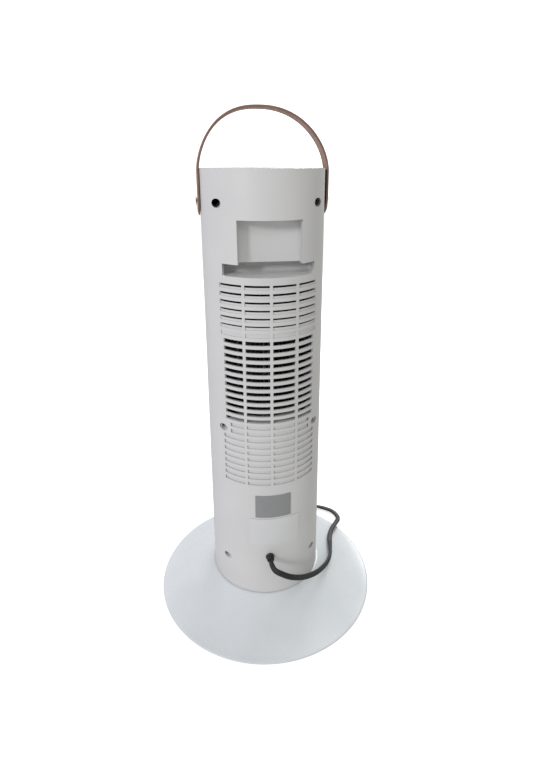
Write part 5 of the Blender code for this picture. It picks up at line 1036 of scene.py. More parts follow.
# %% Levels and patches of the back
BORE_HALF = 0.009  # half the height of the patch that a bore gets
top_bore, middle_bore, low_bore = SCREW_HEIGHTS
bore_steps = [-BORE_HALF, -BORE_HALF / 2, 0.0, BORE_HALF / 2, BORE_HALF]
levels = steps(TOWER_BOTTOM, low_bore - BORE_HALF, 0.013) + [low_bore + d for d in bore_steps]
levels += steps(0.1080, 0.2040, 0.016) + [0.2040]
for row in reversed(range(SLOT_ROWS)):
    slot_top = SLOT_TOP - row * SLOT_PITCH
    levels += [slot_top - SLOT_HEIGHT, slot_top]
levels += [0.4567, POCKET_FLOOR, POCKET_FLOOR + POCKET_CORNER, 0.4685, POCKET_TOP]
levels += steps(0.4809, RECESS_TOP, 0.0085) + [RECESS_TOP] + [top_bore + d for d in bore_steps]
levels += [0.5489, TOWER_TOP]


def level_at(z):
    return min(range(len(levels)), key=lambda k: abs(levels[k] - z))


bore_blocks = []
for z, bottom, top in (
    (top_bore, top_bore - BORE_HALF, top_bore + BORE_HALF),
    (middle_bore, SLOT_TOP - 21 * SLOT_PITCH, SLOT_TOP - 19 * SLOT_PITCH),
    (low_bore, low_bore - BORE_HALF, low_bore + BORE_HALF),
):
    for side in (-1, 1):
        ends = sorted((column_at(SHORT_END * side), column_at(THIN_END * side)))
        bore_blocks.append((side, z, *ends, level_at(bottom), level_at(top)))

pocket_columns = column_at(-POCKET_SIDE), column_at(POCKET_SIDE)
recess_columns = column_at(-RECESS_SIDE), column_at(RECESS_SIDE)
pocket_levels = level_at(POCKET_FLOOR), level_at(POCKET_TOP)
recess_levels = level_at(POCKET_TOP), level_at(RECESS_TOP)
first_slot_level = level_at(SLOT_TOP - (SLOT_ROWS - 1) * SLOT_PITCH - SLOT_HEIGHT)
print(len(levels), "levels and", len(bore_blocks), "bores")

# %% [markdown]
# ### What is solid
# A place in the grid is asked by its row and its angle. The middle rows, where the blower
# wheel shows, are a little shorter than the others, and two rows stop short of the middle
# screws.

# %% What is solid
patches = [(*pocket_columns, *pocket_levels), (*recess_columns, *recess_levels)]
patches += [block[2:] for block in bore_blocks]


def rear_state(i, j):
    if any(left <= i < right and low <= j < high for left, right, low, high in patches):
        return "patch"
    step = j - first_slot_level
    if step < 0 or step % 2 or step >= 2 * SLOT_ROWS:
        return "solid"
    row = SLOT_ROWS - 1 - step // 2
    angle = abs(angle_at(columns[i], levels[j]) + angle_at(columns[i + 1], levels[j])) / 2
    end = SHORT_END if row in SHORT_ROWS else OPEN_END if row in OPEN_ROWS else SLOT_END
    if angle > end or any(abs(angle - rib) < RIB_HALF for rib in RIBS):
        return "solid"
    return "slot"


def rear_thickness(angle, z):
    """The wall is thinner round the slots, where the air guide lies in it."""
    if abs(angle) < WINDOW_HALF and WINDOW_LOW < z < WINDOW_HIGH:
        return WALL
    return SLOT_WALL if abs(angle) < THIN_END + 0.5 and THIN_LOW < z < THIN_HIGH else WALL


mesh = bmesh.new()
corner = wall(mesh, columns, levels, rear_state, tower_radius, rear_thickness)
print("wall of", len(mesh.faces), "faces")

# %% [markdown]
# ### Bores
# Each bore is a ring of vertices that closes from the square patch to a circle on the cone,
# then runs straight in to the seat of the screw and leaves a hole for its shank.

# %% Bores
def skin(x, z):
    """The tower's surface at a distance across and a height."""
    return Vector((x, math.sqrt(tower_radius(z) ** 2 - x**2), z))


for side, z, left, right_end, bottom, top in bore_blocks:
    loop = [corner(i, bottom) for i in range(left, right_end)]
    loop += [corner(right_end, j) for j in range(bottom, top)]
    loop += [corner(i, top) for i in range(right_end, left, -1)]
    loop += [corner(left, j) for j in range(top, bottom, -1)]
    centre_x = side * tower_radius(z) * math.sin(math.radians(SCREW_ANGLE))
    rings = [loop]
    for share in (0.62, 0.28, 0.0):
        ring = []
        for vertex in loop:
            out = Vector((vertex.co.x - centre_x, vertex.co.z - z))
            rim = out.normalized() * BORE_RADIUS
            spot = rim.lerp(out, share)
            ring.append(mesh.verts.new(skin(centre_x + spot.x, z + spot.y)))
        rings.append(ring)
    rim = rings[-1]
    for depth in (0.6, 0.25, 0.0):
        seat = Vector((0, BORE_SEAT, 0))
        rings.append([mesh.verts.new(seat + (v.co - seat) * Vector((1, depth, 1))) for v in rim])
    middle = Vector((centre_x, BORE_SEAT, z))
    narrow = Vector((SHANK_HOLE / BORE_RADIUS, 0, SHANK_HOLE / BORE_RADIUS))
    rings.append([mesh.verts.new(middle + (v.co - middle) * narrow) for v in rim])
    join_rings(mesh, rings)
print("bores", BORE_SEAT, "m from the middle plane")

# %% [markdown]
# ### Pocket for the remote control
# The remote stands in a pocket with rounded lower corners and a floor that curves up into
# its back. A narrower recess above it leaves room for the fingers. Both start from a path
# on the grid, which is pushed in ring by ring.

# %% Pocket corners
floor_level, mouth_level = pocket_levels
left, right_end = pocket_columns
arcs = {}
for side, edge_column in ((-1, left), (1, right_end)):
    middle_x, middle_z = side * (POCKET_HALF - POCKET_CORNER), POCKET_FLOOR + POCKET_CORNER
    arc = [corner(edge_column - 2 * side, floor_level)]
    for k in range(1, 6):
        turn = math.pi / 2 * k / 6
        x = middle_x + side * POCKET_CORNER * math.sin(turn)
        arc.append(mesh.verts.new(skin(x, middle_z - POCKET_CORNER * math.cos(turn))))
    arc.append(corner(edge_column, floor_level + 1))
    outside, between = (corner(edge_column - k * side, floor_level) for k in (0, 1))
    upper_arc = arc[3:][::-1]
    face = (outside, between, *upper_arc) if side > 0 else (outside, *upper_arc, between)
    mesh.faces.new(face)
    mesh.faces.new((between, *arc[:4]))
    arcs[side] = arc
print("corners of", len(arcs[1]), "points")

# %% [markdown]
# The two paths run along the grid: the pocket's from the recess down round both corners and
# up again, the recess's over its top. The pocket's floor rises in a quarter circle.

# %% Pocket and recess
recess_left, recess_right = recess_columns
crown_level = recess_levels[1]
pocket_path = [corner(i, mouth_level) for i in range(recess_left, left - 1, -1)]
pocket_path += [corner(left, j) for j in range(mouth_level - 1, floor_level + 1, -1)]
pocket_path += arcs[-1][::-1]
pocket_path += [corner(i, floor_level) for i in range(left + 3, right_end - 2)]
pocket_path += arcs[1]
pocket_path += [corner(right_end, j) for j in range(floor_level + 2, mouth_level + 1)]
pocket_path += [corner(i, mouth_level) for i in range(right_end - 1, recess_right - 1, -1)]
recess_path = [corner(recess_left, j) for j in range(mouth_level, crown_level)]
recess_path += [corner(i, crown_level) for i in range(recess_left, recess_right)]
recess_path += [corner(recess_right, j) for j in range(crown_level, mouth_level - 1, -1)]


def pushed(path, y):
    return [mesh.verts.new((v.co.x, y, v.co.z)) for v in path]


recess_inner = pushed(recess_path, RECESS_BACK)
POCKET_ROUND = 0.0112  # radius of the floor's curve
pocket_rings = []
for k in range(9):
    turn = math.pi / 2 * k / 8
    ring = pushed(pocket_path, POCKET_BACK + POCKET_ROUND * (1 - math.sin(turn)))
    for v in ring:
        share = (POCKET_TOP - v.co.z) / (POCKET_TOP - POCKET_FLOOR)
        v.co.z += POCKET_ROUND * (1 - math.cos(turn)) * share
    pocket_rings.append(ring)
pocket_inner = pocket_rings[0]
join_rings(mesh, [recess_path, recess_inner], around=False)
mesh.faces.new(recess_inner)
last = len(pocket_path) - 2
for k in range(last + 1):
    ring = [pocket_path[k], pocket_path[k + 1], pocket_inner[k + 1], pocket_inner[k]]
    if k == 0:
        ring.append(recess_inner[0])
    if k == last:
        ring.insert(2, recess_inner[-1])
    mesh.faces.new(ring)
join_rings(mesh, pocket_rings, around=False)
ceiling = [recess_inner[0], recess_inner[-1]] + [ring[-1] for ring in pocket_rings]
mesh.faces.new(ceiling + [ring[0] for ring in reversed(pocket_rings)])
mesh.faces.new(pocket_rings[-1])
print("pocket", POCKET_TOP - POCKET_FLOOR, "m high")

# %% [markdown]
# ### Round the edges
# A long moulded lip is rounder than the edge of a thin slot. A bevel weight on each sharp
# edge says how much of the bevel's width it gets.

# %% Round the edges of the back
bmesh.ops.recalc_face_normals(mesh, faces=mesh.faces)
mesh.normal_update()
weights = mesh.edges.layers.float.new("bevel_weight_edge")
LIP_WEIGHT, SLOT_WEIGHT = 1.0, 0.28
lip = set(pocket_path[2:-2])
for edge in mesh.edges:
    if len(edge.link_faces) == 2 and edge.calc_face_angle() >= math.radians(38.0):
        below_top = any(v.co.z < POCKET_TOP - 0.001 for v in edge.verts)
        on_lip = below_top and all(v in lip for v in edge.verts)
        edge[weights] = LIP_WEIGHT if on_lip else SLOT_WEIGHT
finish_mesh("rear_case", mesh, [WHITE], ("rear_shell",), bevel=0.0013, segments=3)

# %% [markdown]
# ## The front half
# The front isn't in the photograph. Such a heater has a plain front half with a tall outlet,
# so it is the same kind of grid wall with one window.

# %% Front half
OUTLET_LOW, OUTLET_HIGH, OUTLET_HALF = 0.2280, 0.4820, 40.0
FRONT = 180.0  # the middle of the front, in degrees from the middle of the back
outlet_edge = FRONT - OUTLET_HALF
front_half = steps(SEAM + 0.3, outlet_edge, 3.0) + steps(outlet_edge, FRONT, 3.0)
front_columns = front_half + [FRONT] + [2 * FRONT - a for a in reversed(front_half)]
front_levels = steps(TOWER_BOTTOM, OUTLET_LOW, 0.05) + steps(OUTLET_LOW, OUTLET_HIGH, 0.05)
front_levels += steps(OUTLET_HIGH, TOWER_TOP, 0.05) + [TOWER_TOP]


def front_state(i, j):
    off = abs((front_columns[i] + front_columns[i + 1]) / 2 - FRONT)
    z = (front_levels[j] + front_levels[j + 1]) / 2
    return "slot" if off < OUTLET_HALF and OUTLET_LOW < z < OUTLET_HIGH else "solid"


mesh = bmesh.new()
wall(mesh, front_columns, front_levels, front_state, tower_radius, WALL)
finish_mesh("front_case", mesh, [WHITE], ("front_shell",), bevel=0.0004)

# %% [markdown]
# ### Outlet grille
# The grille is a dark frame of upright bars with slim slanted vanes behind them, and a blank
# panel round the heating element, so that nobody sees into the tower. It follows the cone,
# so it is a grid too.

# %% Outlet grille
OPENINGS, BAR_SHARE = 11, 0.42
first, last = outlet_edge + 0.4, FRONT + OUTLET_HALF - 0.4
start, end = first + 3.6, last - 3.6
spacing = (end - start) / (OPENINGS - BAR_SHARE)
grille_columns = [first, first + 1.8]
for k in range(OPENINGS):
    opening = start + k * spacing
    bar_width = BAR_SHARE * spacing
    grille_columns += [opening, opening + spacing - bar_width]
    if k < OPENINGS - 1:
        grille_columns.append(opening + spacing - bar_width / 2)
grille_columns += [last - 1.8, last]
low, high = OUTLET_LOW + 0.0004, OUTLET_HIGH - 0.0004
RIM, RAIL = 0.007, 0.004
lower_rail = (low + high - RAIL) / 2
grille_levels = [low, low + RIM, lower_rail, lower_rail + RAIL, high - RIM, high]


def grille_state(i, j):
    open_column = 2 <= i < len(grille_columns) - 3 and (i - 2) % 3 == 0
    return "slot" if open_column and j in (1, 3) else "solid"


mesh = bmesh.new()
wall(mesh, grille_columns, grille_levels, grille_state, tower_radius, WALL)
print(OPENINGS, "openings across")

# %% [markdown]
# The vanes are thin wedges behind the bars. The blank panel behind them is one more wall,
# open in front of the heating element.

# %% Vanes and blank panel
VANE_ROWS, VANE_HALF, VANE_PARTS = 24, 37.0, 24
spots = [FRONT - VANE_HALF + 2 * VANE_HALF * i / VANE_PARTS for i in range(VANE_PARTS + 1)]
for k in range(VANE_ROWS):
    z = low + 0.010 + (high - low - 0.020) * k / (VANE_ROWS - 1)
    behind = tower_radius(z) - WALL
    edges = (behind + 0.0003, z + 0.0009), (behind - 0.0016, z), (behind + 0.0003, z - 0.0003)
    rows = [[mesh.verts.new(on_tower(radius, a, up)) for a in spots] for radius, up in edges]
    join_rings(mesh, [*rows, rows[0]], around=False)
BLANK_HALF, BLANK_LOW, BLANK_HIGH = 31.0, 0.2960, 0.3920
near, far = FRONT - BLANK_HALF, FRONT + BLANK_HALF
blank_columns = steps(first + 0.6, near, 3.0) + steps(near, far, 3.0)
blank_columns += steps(far, last - 0.6, 3.0) + [last - 0.6]
blank_levels = [low + 0.0006, BLANK_LOW, BLANK_HIGH, high - 0.0006]


def blank_state(i, j):
    off = abs((blank_columns[i] + blank_columns[i + 1]) / 2 - FRONT)
    return "slot" if j == 1 and off < BLANK_HALF else "solid"


def blank_radius(z):
    return tower_radius(z) - WALL - 0.0017


wall(mesh, blank_columns, blank_levels, blank_state, blank_radius, 0.0008)
finish_mesh("outlet_bars", mesh, [DARK], ("outlet_grille",), bevel=0.0004)

# %% [markdown]
# ### Heating element
# Behind the grille stand ceramic bars with foil fins folded between them, a fold every
# millimetre or so. Seen through the bars it is a fine grey weave. One strip of folds is drawn
# as a zigzag line, pulled out to its depth and thickened, and the other three are copies.

# %% Heating element
core_low, core_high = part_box("heater_core")
BAR_WIDTH, FOLD, FOIL_THICK = 0.0030, 0.00115, 0.00022
strip = (core_high.x - core_low.x + 2 * GAP - 3 * BAR_WIDTH) / 4
folds = round((core_high.z - core_low.z - 0.002) / FOLD)
near, far = core_low.x - GAP + 0.0002, core_low.x - GAP + strip - 0.0002
zigzag = [
    (near if n % 2 else far, core_low.y + 0.0015, core_low.z + 0.001 + FOLD * n)
    for n in range(folds + 1)
]
fin_strip = draw_line("fin_strip", zigzag)
pull(Vector((0, core_high.y - core_low.y - 0.0030, 0)))
close_shape()
thicken(fin_strip, FOIL_THICK)
bar_size = BAR_WIDTH, core_high.y - core_low.y - 0.001, core_high.z - core_low.z
bar_place = (core_low + core_high) / 2
bar_place.x = core_low.x - GAP + strip + BAR_WIDTH / 2
bar = start_box("ceramic_bar", bar_size, bar_place)
bpy.ops.mesh.bevel(offset=0.0002, segments=1)
close_shape()
stack = [fin_strip, bar]
for shape, more in ((fin_strip, 3), (bar, 2)):
    for k in range(1, more + 1):
        away = k * (strip + BAR_WIDTH), 0, 0
        stack.append(copy_shape(shape, f"{shape.name}_{k}", away))
heater_stack = join_shapes("heater_stack", stack)
finish_shape(heater_stack, ALUMINIUM, ("heater_core",), sharp=20.0)

# %% [markdown]
# ### Blower wheel
# The long wheel that shows behind the open slots is a ring of 32 thin curved vanes between
# discs. One vane is drawn as a short arc, pulled up and thickened, and spin copies it round
# the shaft. The discs are turned.

# %% Blower wheel
wheel_low, wheel_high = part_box("blower_wheel")
WHEEL_OUT, WHEEL_IN, WHEEL_RIM, HUB, VANES = 0.0298, 0.0236, 0.0300, 0.0028, 32
DISC_THICK = 0.0018


def wheel_disc(name, hub, low, high):
    ring = [(hub, low), (WHEEL_RIM, low), (WHEEL_RIM, high), (hub, high), (hub, low)]
    return turned(name, ring, 64)


wheel_middle = (wheel_low.z + wheel_high.z) / 2
end_disc = wheel_disc("end_disc", HUB, wheel_low.z, wheel_low.z + DISC_THICK)
top_disc = copy_shape(end_disc, "top_disc", (0, 0, wheel_high.z - wheel_low.z - DISC_THICK))
mid_disc = wheel_disc("mid_disc", WHEEL_IN - 0.0008, wheel_middle - 0.0008, wheel_middle + 0.0008)
arc = []
for n in range(6):
    t = n / 5
    radius = WHEEL_IN + (WHEEL_OUT - WHEEL_IN) * t
    arc.append(on_tower(radius, 9.0 * t * t - 3.0 * t, wheel_low.z + 0.0012))
vane = draw_line("vane", arc)
pull(Vector((0, 0, wheel_high.z - wheel_low.z - 0.0024)))
close_shape()
thicken(vane, 0.0007)
bpy.ops.object.mode_set(mode="EDIT")
bpy.ops.mesh.select_all(action="SELECT")
bpy.ops.mesh.spin(
    steps=VANES - 1, dupli=True, angle=2 * math.pi * (VANES - 1) / VANES,
    center=(0, 0, 0), axis=(0, 0, 1),
)
close_shape()
wheel = join_shapes("wheel_vanes", [vane, end_disc, top_disc, mid_disc])
finish_shape(wheel, BLACK, ("blower_wheel",), "fan", sharp=30.0)

# %% [markdown]
# ## Air guide
# A white insert lies behind the slots. It is open behind the middle rows, where the wheel
# shows, has a narrow slit behind each of the upper rows and closes the rest. It follows the
# cone too, so it is a grid wall, with a lip that leads the air in over the motor.

# %% Columns and levels of the guide
GUIDE_OUT, GUIDE_SUNK = SLOT_WALL + 0.0001, 0.0005
SLIT_END = SLOT_END - 0.1
guide_half = [1.5] + steps(4.2, OPEN_END, 3.1)
guide_half += [OPEN_END, SLIT_END, 53.0, BORE_SIDE, 59.0, THIN_END]
guide_columns = [-a for a in reversed(guide_half)] + guide_half
row_bottom = SLOT_TOP - 28 * SLOT_PITCH - SLOT_HEIGHT
SLIT_HEIGHTS = (0.0024, 0.0025, 0.0024, 0.0022, 0.0022, 0.0019)
guide_levels = [row_bottom - 0.0045]
guide_levels += [middle_bore - 0.0060, middle_bore + 0.0060]  # room for the middle bores
guide_levels += [SLOT_TOP - 18 * SLOT_PITCH - SLOT_HEIGHT, SLOT_TOP - 7 * SLOT_PITCH]
for row in reversed(range(6)):
    slit = SLIT_HEIGHTS[row]
    guide_levels += [SLOT_TOP - row * SLOT_PITCH - slit, SLOT_TOP - row * SLOT_PITCH]
guide_levels.append(SLOT_TOP + 0.0038)
print(len(guide_columns), "columns and", len(guide_levels), "levels")

# %% [markdown]
# The window stops short of the slots' ends, and the slits run their whole length. Below the
# window the guide lies a little deeper behind the wall, which leaves a dark gap.

# %% Air guide
def guide_state(i, j):
    """Open at the middle bores, behind the open rows and behind the upper slots."""
    angle = abs(guide_columns[i] + guide_columns[i + 1]) / 2
    bore = j == 1 and OPEN_END < angle < BORE_SIDE
    slit = j in range(5, 17, 2) and angle < SLIT_END
    return "slot" if bore or slit or (j == 3 and angle < OPEN_END) else "solid"


def guide_radius(z):
    sunk = GUIDE_SUNK if z < guide_levels[3] + 0.0001 else 0.0
    return tower_radius(z) - GUIDE_OUT - sunk


mesh = bmesh.new()
wall(mesh, guide_columns, guide_levels, guide_state, guide_radius, 0.0012)
LIP_HALF, LIP_DEEP, LIP_THICK = 46.0, 0.0200, 0.0012
shelf_z = guide_levels[3] - 0.0002  # a lip that leads the air in over the motor
reach = guide_radius(shelf_z) - 0.0010
rows = []
for angle in steps(-LIP_HALF, LIP_HALF, 3.0) + [LIP_HALF]:
    spots = [on_tower(reach, angle, shelf_z)]
    spots.append(on_tower(reach - LIP_DEEP, angle, shelf_z - LIP_THICK))
    spots += [spot - Vector((0, 0, LIP_THICK)) for spot in reversed(spots)]
    rows.append([mesh.verts.new(spot) for spot in spots])
join_rings(mesh, rows, capped=True)
finish_mesh("intake_guide", mesh, [WHITE], ("air_guide",), bevel=0.0003)

# %% [markdown]
# ## Base
# The base is one moulded disc, 305 mm across, that rises in a hollow curve to the neck of the
# tower. It hides a weight. Anything this round is turned: the profile runs in along the top,
# down into the seat of the tower and back out under the skin.

# %% Base
BASE_R, NECK_R, BASE_TOP, RIM_TOP, SKIN = 0.1525, 0.0765, 0.0386, 0.0052, 0.0032


def base_height(radius):
    return RIM_TOP + (BASE_TOP - RIM_TOP) * ((BASE_R - radius) / (BASE_R - NECK_R)) ** 1.3


profile = [(BASE_R - 0.0060, 0.0022), (BASE_R - 0.0010, 0.0022), (BASE_R - 0.0003, 0.0025)]
profile += [(BASE_R, 0.0032), (BASE_R, 0.0042), (BASE_R - 0.0004, 0.0049)]
profile.append((BASE_R - 0.0012, 0.0053))
for k in range(1, 40):
    radius = BASE_R - 0.0012 - (BASE_R - 0.0012 - NECK_R) * k / 40
    profile.append((radius, base_height(radius)))
profile += [(NECK_R + 0.0006, BASE_TOP - 0.0004), (NECK_R - 0.0002, BASE_TOP - 0.0001)]
profile += [(NECK_R - 0.0010, BASE_TOP), (0.0688, BASE_TOP), (0.0682, BASE_TOP - 0.0004)]
profile += [(0.0680, BASE_TOP - 0.0008), (0.0680, BASE_TOP - 0.0020)]
profile += [(0.0520, BASE_TOP - 0.0020), (0.0520, 0.0330), (0.0738, 0.0330), (0.0765, 0.0318)]
for k in range(1, 20):
    radius = NECK_R + (BASE_R - 0.0112 - NECK_R) * k / 20
    profile.append((radius, base_height(radius) - SKIN))
profile += [(BASE_R - 0.0110, 0.0046), (BASE_R - 0.0110, 0.0024), profile[0]]
base_disc = turned("base_disc", profile, 192)
finish_shape(base_disc, BASE_WHITE, ("base_cover",), "base", sharp=32.0)

# %% [markdown]
# ## Strap
# A strip of hide, 2.6 mm thick and 17 mm wide, is riveted to both sides of the tower and
# stands up in an arch that leans a little to one side. A curve with a bevel could carry it,
# but the strip also has to hug the round tower at its ends and leave it in the arch, and its
# edges and the painted shade on its inner face beside the tower are other finishes. So its
# sections are written along the arch in code.

# %% The line of the strap
STRAP_THICKNESS, STRAP_HALF, STRAP_LEAN = 0.0026, 0.0085, 0.0040
STRAP_END, STRAP_SPRING, STRAP_APEX = 0.5150, 0.5560, 0.6155
RIVET_HEIGHT = 0.5290


def strap_outer(z):
    return tower_radius(z) + 0.0006 + STRAP_THICKNESS


def strap_flank(side, stand_off):
    """(across, height, hug) up one side of the strap, from its end to the top of its arch."""
    points = []
    for k in range(26):
        t = k / 26
        z = STRAP_END + (STRAP_SPRING - STRAP_END) * t
        ease = min(1.0, t / 0.45)
        off = stand_off * ease * ease * (3 - 2 * ease)
        points.append((side * (strap_outer(z) + off), z, 1.0))
    for k in range(49):
        rise = math.sin(math.pi / 2 * k / 48)
        z = STRAP_SPRING + (STRAP_APEX - STRAP_SPRING) * rise
        half = (strap_outer(STRAP_SPRING) + stand_off) * max(0.0, 1.0 - rise**1.7) ** (1 / 2.3)
        points.append((side * half + STRAP_LEAN * rise**2, z, max(0.0, 1.0 - 2.0 * k / 48)))
    return points


strap_points = strap_flank(1, -0.0003) + strap_flank(-1, 0.0013)[-2::-1]
print("strap line of", len(strap_points), "points")

# %% [markdown]
# Each section has ten points on its outer face and ten on its inner face. The ends of the strip
# are rounded and pared thin, and its long edges are a little eased.

# %% The strap's sections
EASED = 0.00035
PARED, PARED_LONG = 0.0014, 0.0070
SHARES = (-1.0, -0.965, -0.7, -0.4, -0.13, 0.13, 0.4, 0.7, 0.965, 1.0)
radius = tower_radius(STRAP_SPRING)
strap_line = [Vector((x, 0, z)) for x, z, _ in strap_points]
mesh = bmesh.new()
rings = []
for k, (x, z, hug) in enumerate(strap_points):
    run = run_at(strap_line, k)
    inward = Vector((run.z, 0, -run.x))
    if inward.dot(Vector((-x, 0, STRAP_END - z))) < 0:
        inward.negate()
    above, half = z - STRAP_END, STRAP_HALF
    pared = PARED * max(0.0, 1.0 - above / PARED_LONG) ** 2
    if above < STRAP_HALF:
        half = max(0.0030, math.sqrt(max(0.0, STRAP_HALF**2 - (STRAP_HALF - above) ** 2)))
    ring = []
    for share in SHARES + SHARES[::-1]:
        outside = len(ring) < len(SHARES)
        y = share * half
        drop = (radius - math.sqrt(radius**2 - y**2)) * hug
        depth = pared if outside else STRAP_THICKNESS
        if abs(share) == 1.0:
            depth += EASED if outside else -EASED
        ring.append(mesh.verts.new(Vector((x, y, z)) + inward * (drop + depth)))
    rings.append(ring)
turns_over = len(SHARES) - 1, 2 * len(SHARES) - 1
for k, i, face in join_rings(mesh, rings):
    # inner faces below the tower's top lie in the gap beside it and get its shade painted on,
    # nearly black
    in_gap_shade = i > turns_over[0] and rings[k][i].co.z < TOWER_TOP - 0.001
    face.material_index = 1 if i in turns_over else 2 if in_gap_shade else 0
for ring in (rings[0], rings[-1]):
    mesh.faces.new(ring).material_index = 1
finishes = [LEATHER, LEATHER_EDGE, PAINTED_GAP_SHADE]
finish_mesh("leather_strap", mesh, finishes, ("handle_strap",), sharp=60.0)

# %% [markdown]
# ### Rivets
# A rivet's head is a low bronze dome. It is turned on the +X side, and the other one is a
# copy that is turned half round the tower.

# %% Rivets
seat = strap_outer(RIVET_HEIGHT) + GAP
profile = [(0, seat - 0.0030), (0.0018, seat - 0.0030), (0.0018, seat), (0.0043, seat)]
profile += [(0.0045, seat + 0.0002), (0.0044, seat + 0.0004), (0.0040, seat + 0.0006)]
profile += [(0.0030, seat + 0.00075), (0.0016, seat + 0.0008), (0, seat + 0.0008)]
right_head = turned("rivet_right_head", profile, 40, (0.0, RIVET_HEIGHT), "X")
left_head = copy_shape(right_head, "rivet_left_head", turn=(0, 0, math.pi))
for head, node in ((right_head, "strap_rivet_right"), (left_head, "strap_rivet_left")):
    finish_shape(head, BRONZE, (node,), sharp=50.0)

# %% [markdown]
# ## Top panel
# The lid closes the tower and carries the display and four push-buttons. The photograph
# shows nothing of it but its rim, so the rest is what such a heater has. It is turned, and
# its holes are cut with a turned tool and a box.

# %% Top panel
UNDERSIDE = TOWER_TOP - 0.0028
BUTTON_PITCH, BUTTON_ROW, HOLE_RADIUS = 0.018, -0.040, 0.0066
DISPLAY_LOW, DISPLAY_HIGH = Vector((-0.0180, -0.0280, 0.5586)), Vector((0.0180, -0.0140, 0.5598))
button_spots = [(BUTTON_PITCH * (k - 1.5), BUTTON_ROW) for k in range(4)]
cap_radius = tower_radius(TOWER_TOP) - WALL - GAP
profile = [(0, TOWER_TOP), (cap_radius * 0.5, TOWER_TOP), (cap_radius - 0.0006, TOWER_TOP)]
profile += [(cap_radius - 0.0002, TOWER_TOP - 0.0002), (cap_radius, TOWER_TOP - 0.0006)]
profile += [(cap_radius, UNDERSIDE - 0.0080), (cap_radius - 0.0024, UNDERSIDE - 0.0080)]
profile += [(cap_radius - 0.0024, UNDERSIDE), (0, UNDERSIDE)]
lid = turned("top_panel", profile, 96)
profile = [(0, UNDERSIDE - 0.001), (HOLE_RADIUS, UNDERSIDE - 0.001)]
profile += [(HOLE_RADIUS, TOWER_TOP - 0.0004), (HOLE_RADIUS + 0.0004, TOWER_TOP)]
profile += [(HOLE_RADIUS + 0.0004, TOWER_TOP + 0.004), (0, TOWER_TOP + 0.004)]
hole_tool = turned("hole_tool", profile, 48)
for spot in button_spots:
    cut_away(lid, copy_shape(hole_tool, "hole", (*spot, 0)))
bpy.data.objects.remove(hole_tool, do_unlink=True)
display_size, display_place = DISPLAY_HIGH - DISPLAY_LOW, (DISPLAY_LOW + DISPLAY_HIGH) / 2
sunk = start_box(
    "sunk", display_size + Vector((0.0006, 0.0006, 0.0046)), display_place + Vector((0, 0, 0.0020))
)
close_shape()
cut_away(lid, sunk)
finish_shape(lid, WHITE, ("top_cap",), sharp=35.0)

# %% [markdown]
# ### Display window
# A pane of smoked acrylic lies flush in the lid. A box with its edges bevelled is all it is.

# %% Display window
display = start_box("display", display_size, display_place)
bpy.ops.mesh.bevel(offset=0.0003, segments=3)
close_shape()
finish_shape(display, GLOSS, ("display_window",))

# %% [markdown]
# ### Push-buttons
# The four caps come out of one mould: a dished top, a flange that stops the cap in its hole
# and a stem. One is turned and copied.

# %% Push-button caps
stem_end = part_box("power_button")[0].z
profile = [(0, stem_end), (0.0025, stem_end), (0.0025, 0.5550), (0.0073, 0.5550)]
profile += [(0.0073, 0.5564), (0.0060, 0.5567)]
profile += [(0.0060, TOWER_TOP - 0.0006), (0.0058, TOWER_TOP - 0.0002)]
profile += [(0.0054, TOWER_TOP), (0.0048, TOWER_TOP - 0.0001), (0.0030, TOWER_TOP - 0.00025)]
profile += [(0, TOWER_TOP - 0.0003)]
cap = turned("cap", profile, 48)
button_names = ("power_button", "heat_button", "timer_button", "swivel_button")
for name, spot in zip(button_names, button_spots):
    made = copy_shape(cap, name + "_cap", (*spot, 0))
    finish_shape(made, GREY, (name,), name, sharp=40.0)
bpy.data.objects.remove(cap, do_unlink=True)

# %% [markdown]
# ### Marks
# Each mark is raised on its cap. Text as a mesh would be an easy way to signs, but it needs a
# font. So arcs are a small square spun round a middle, and strokes are thin bevelled boxes.

# %% Arcs and strokes
MARK_WIDTH, MARK_HEIGHT = 0.0004, 0.0004
mark_z = TOWER_TOP - MARK_HEIGHT / 2


def mark_arc(middle, radius, first_angle, last_angle, count):
    """A raised arc between two angles in degrees."""
    turn = math.radians(first_angle)
    reach = radius + MARK_WIDTH / 2
    place = (middle[0] + reach * math.cos(turn), middle[1] + reach * math.sin(turn), mark_z)
    made = start_shape(
        "arc", bpy.ops.mesh.primitive_plane_add, (MARK_WIDTH, MARK_HEIGHT, 1), size=1,
        location=place, rotation=(math.pi / 2, 0, turn),
    )
    backwards = math.radians(first_angle - last_angle)  # spin turns clockwise
    bpy.ops.mesh.spin(steps=count, angle=backwards, center=(*middle, 0), axis=(0, 0, 1))
    close_shape()
    return made


def mark_stroke(middle, dx, dy, length, degrees):
    place = middle[0] + dx, middle[1] + dy, mark_z
    turn = 0, 0, math.radians(degrees)
    made = start_box("stroke", (length, MARK_WIDTH, MARK_HEIGHT), place, turn)
    bpy.ops.mesh.bevel(offset=0.00005, segments=1)
    close_shape()
    return made


print("marks are", MARK_WIDTH * 1000, "mm wide")

# %% [markdown]
# The marks stay generic: a broken ring with a stroke, three warm waves, a clock and an arrow
# that points both ways.

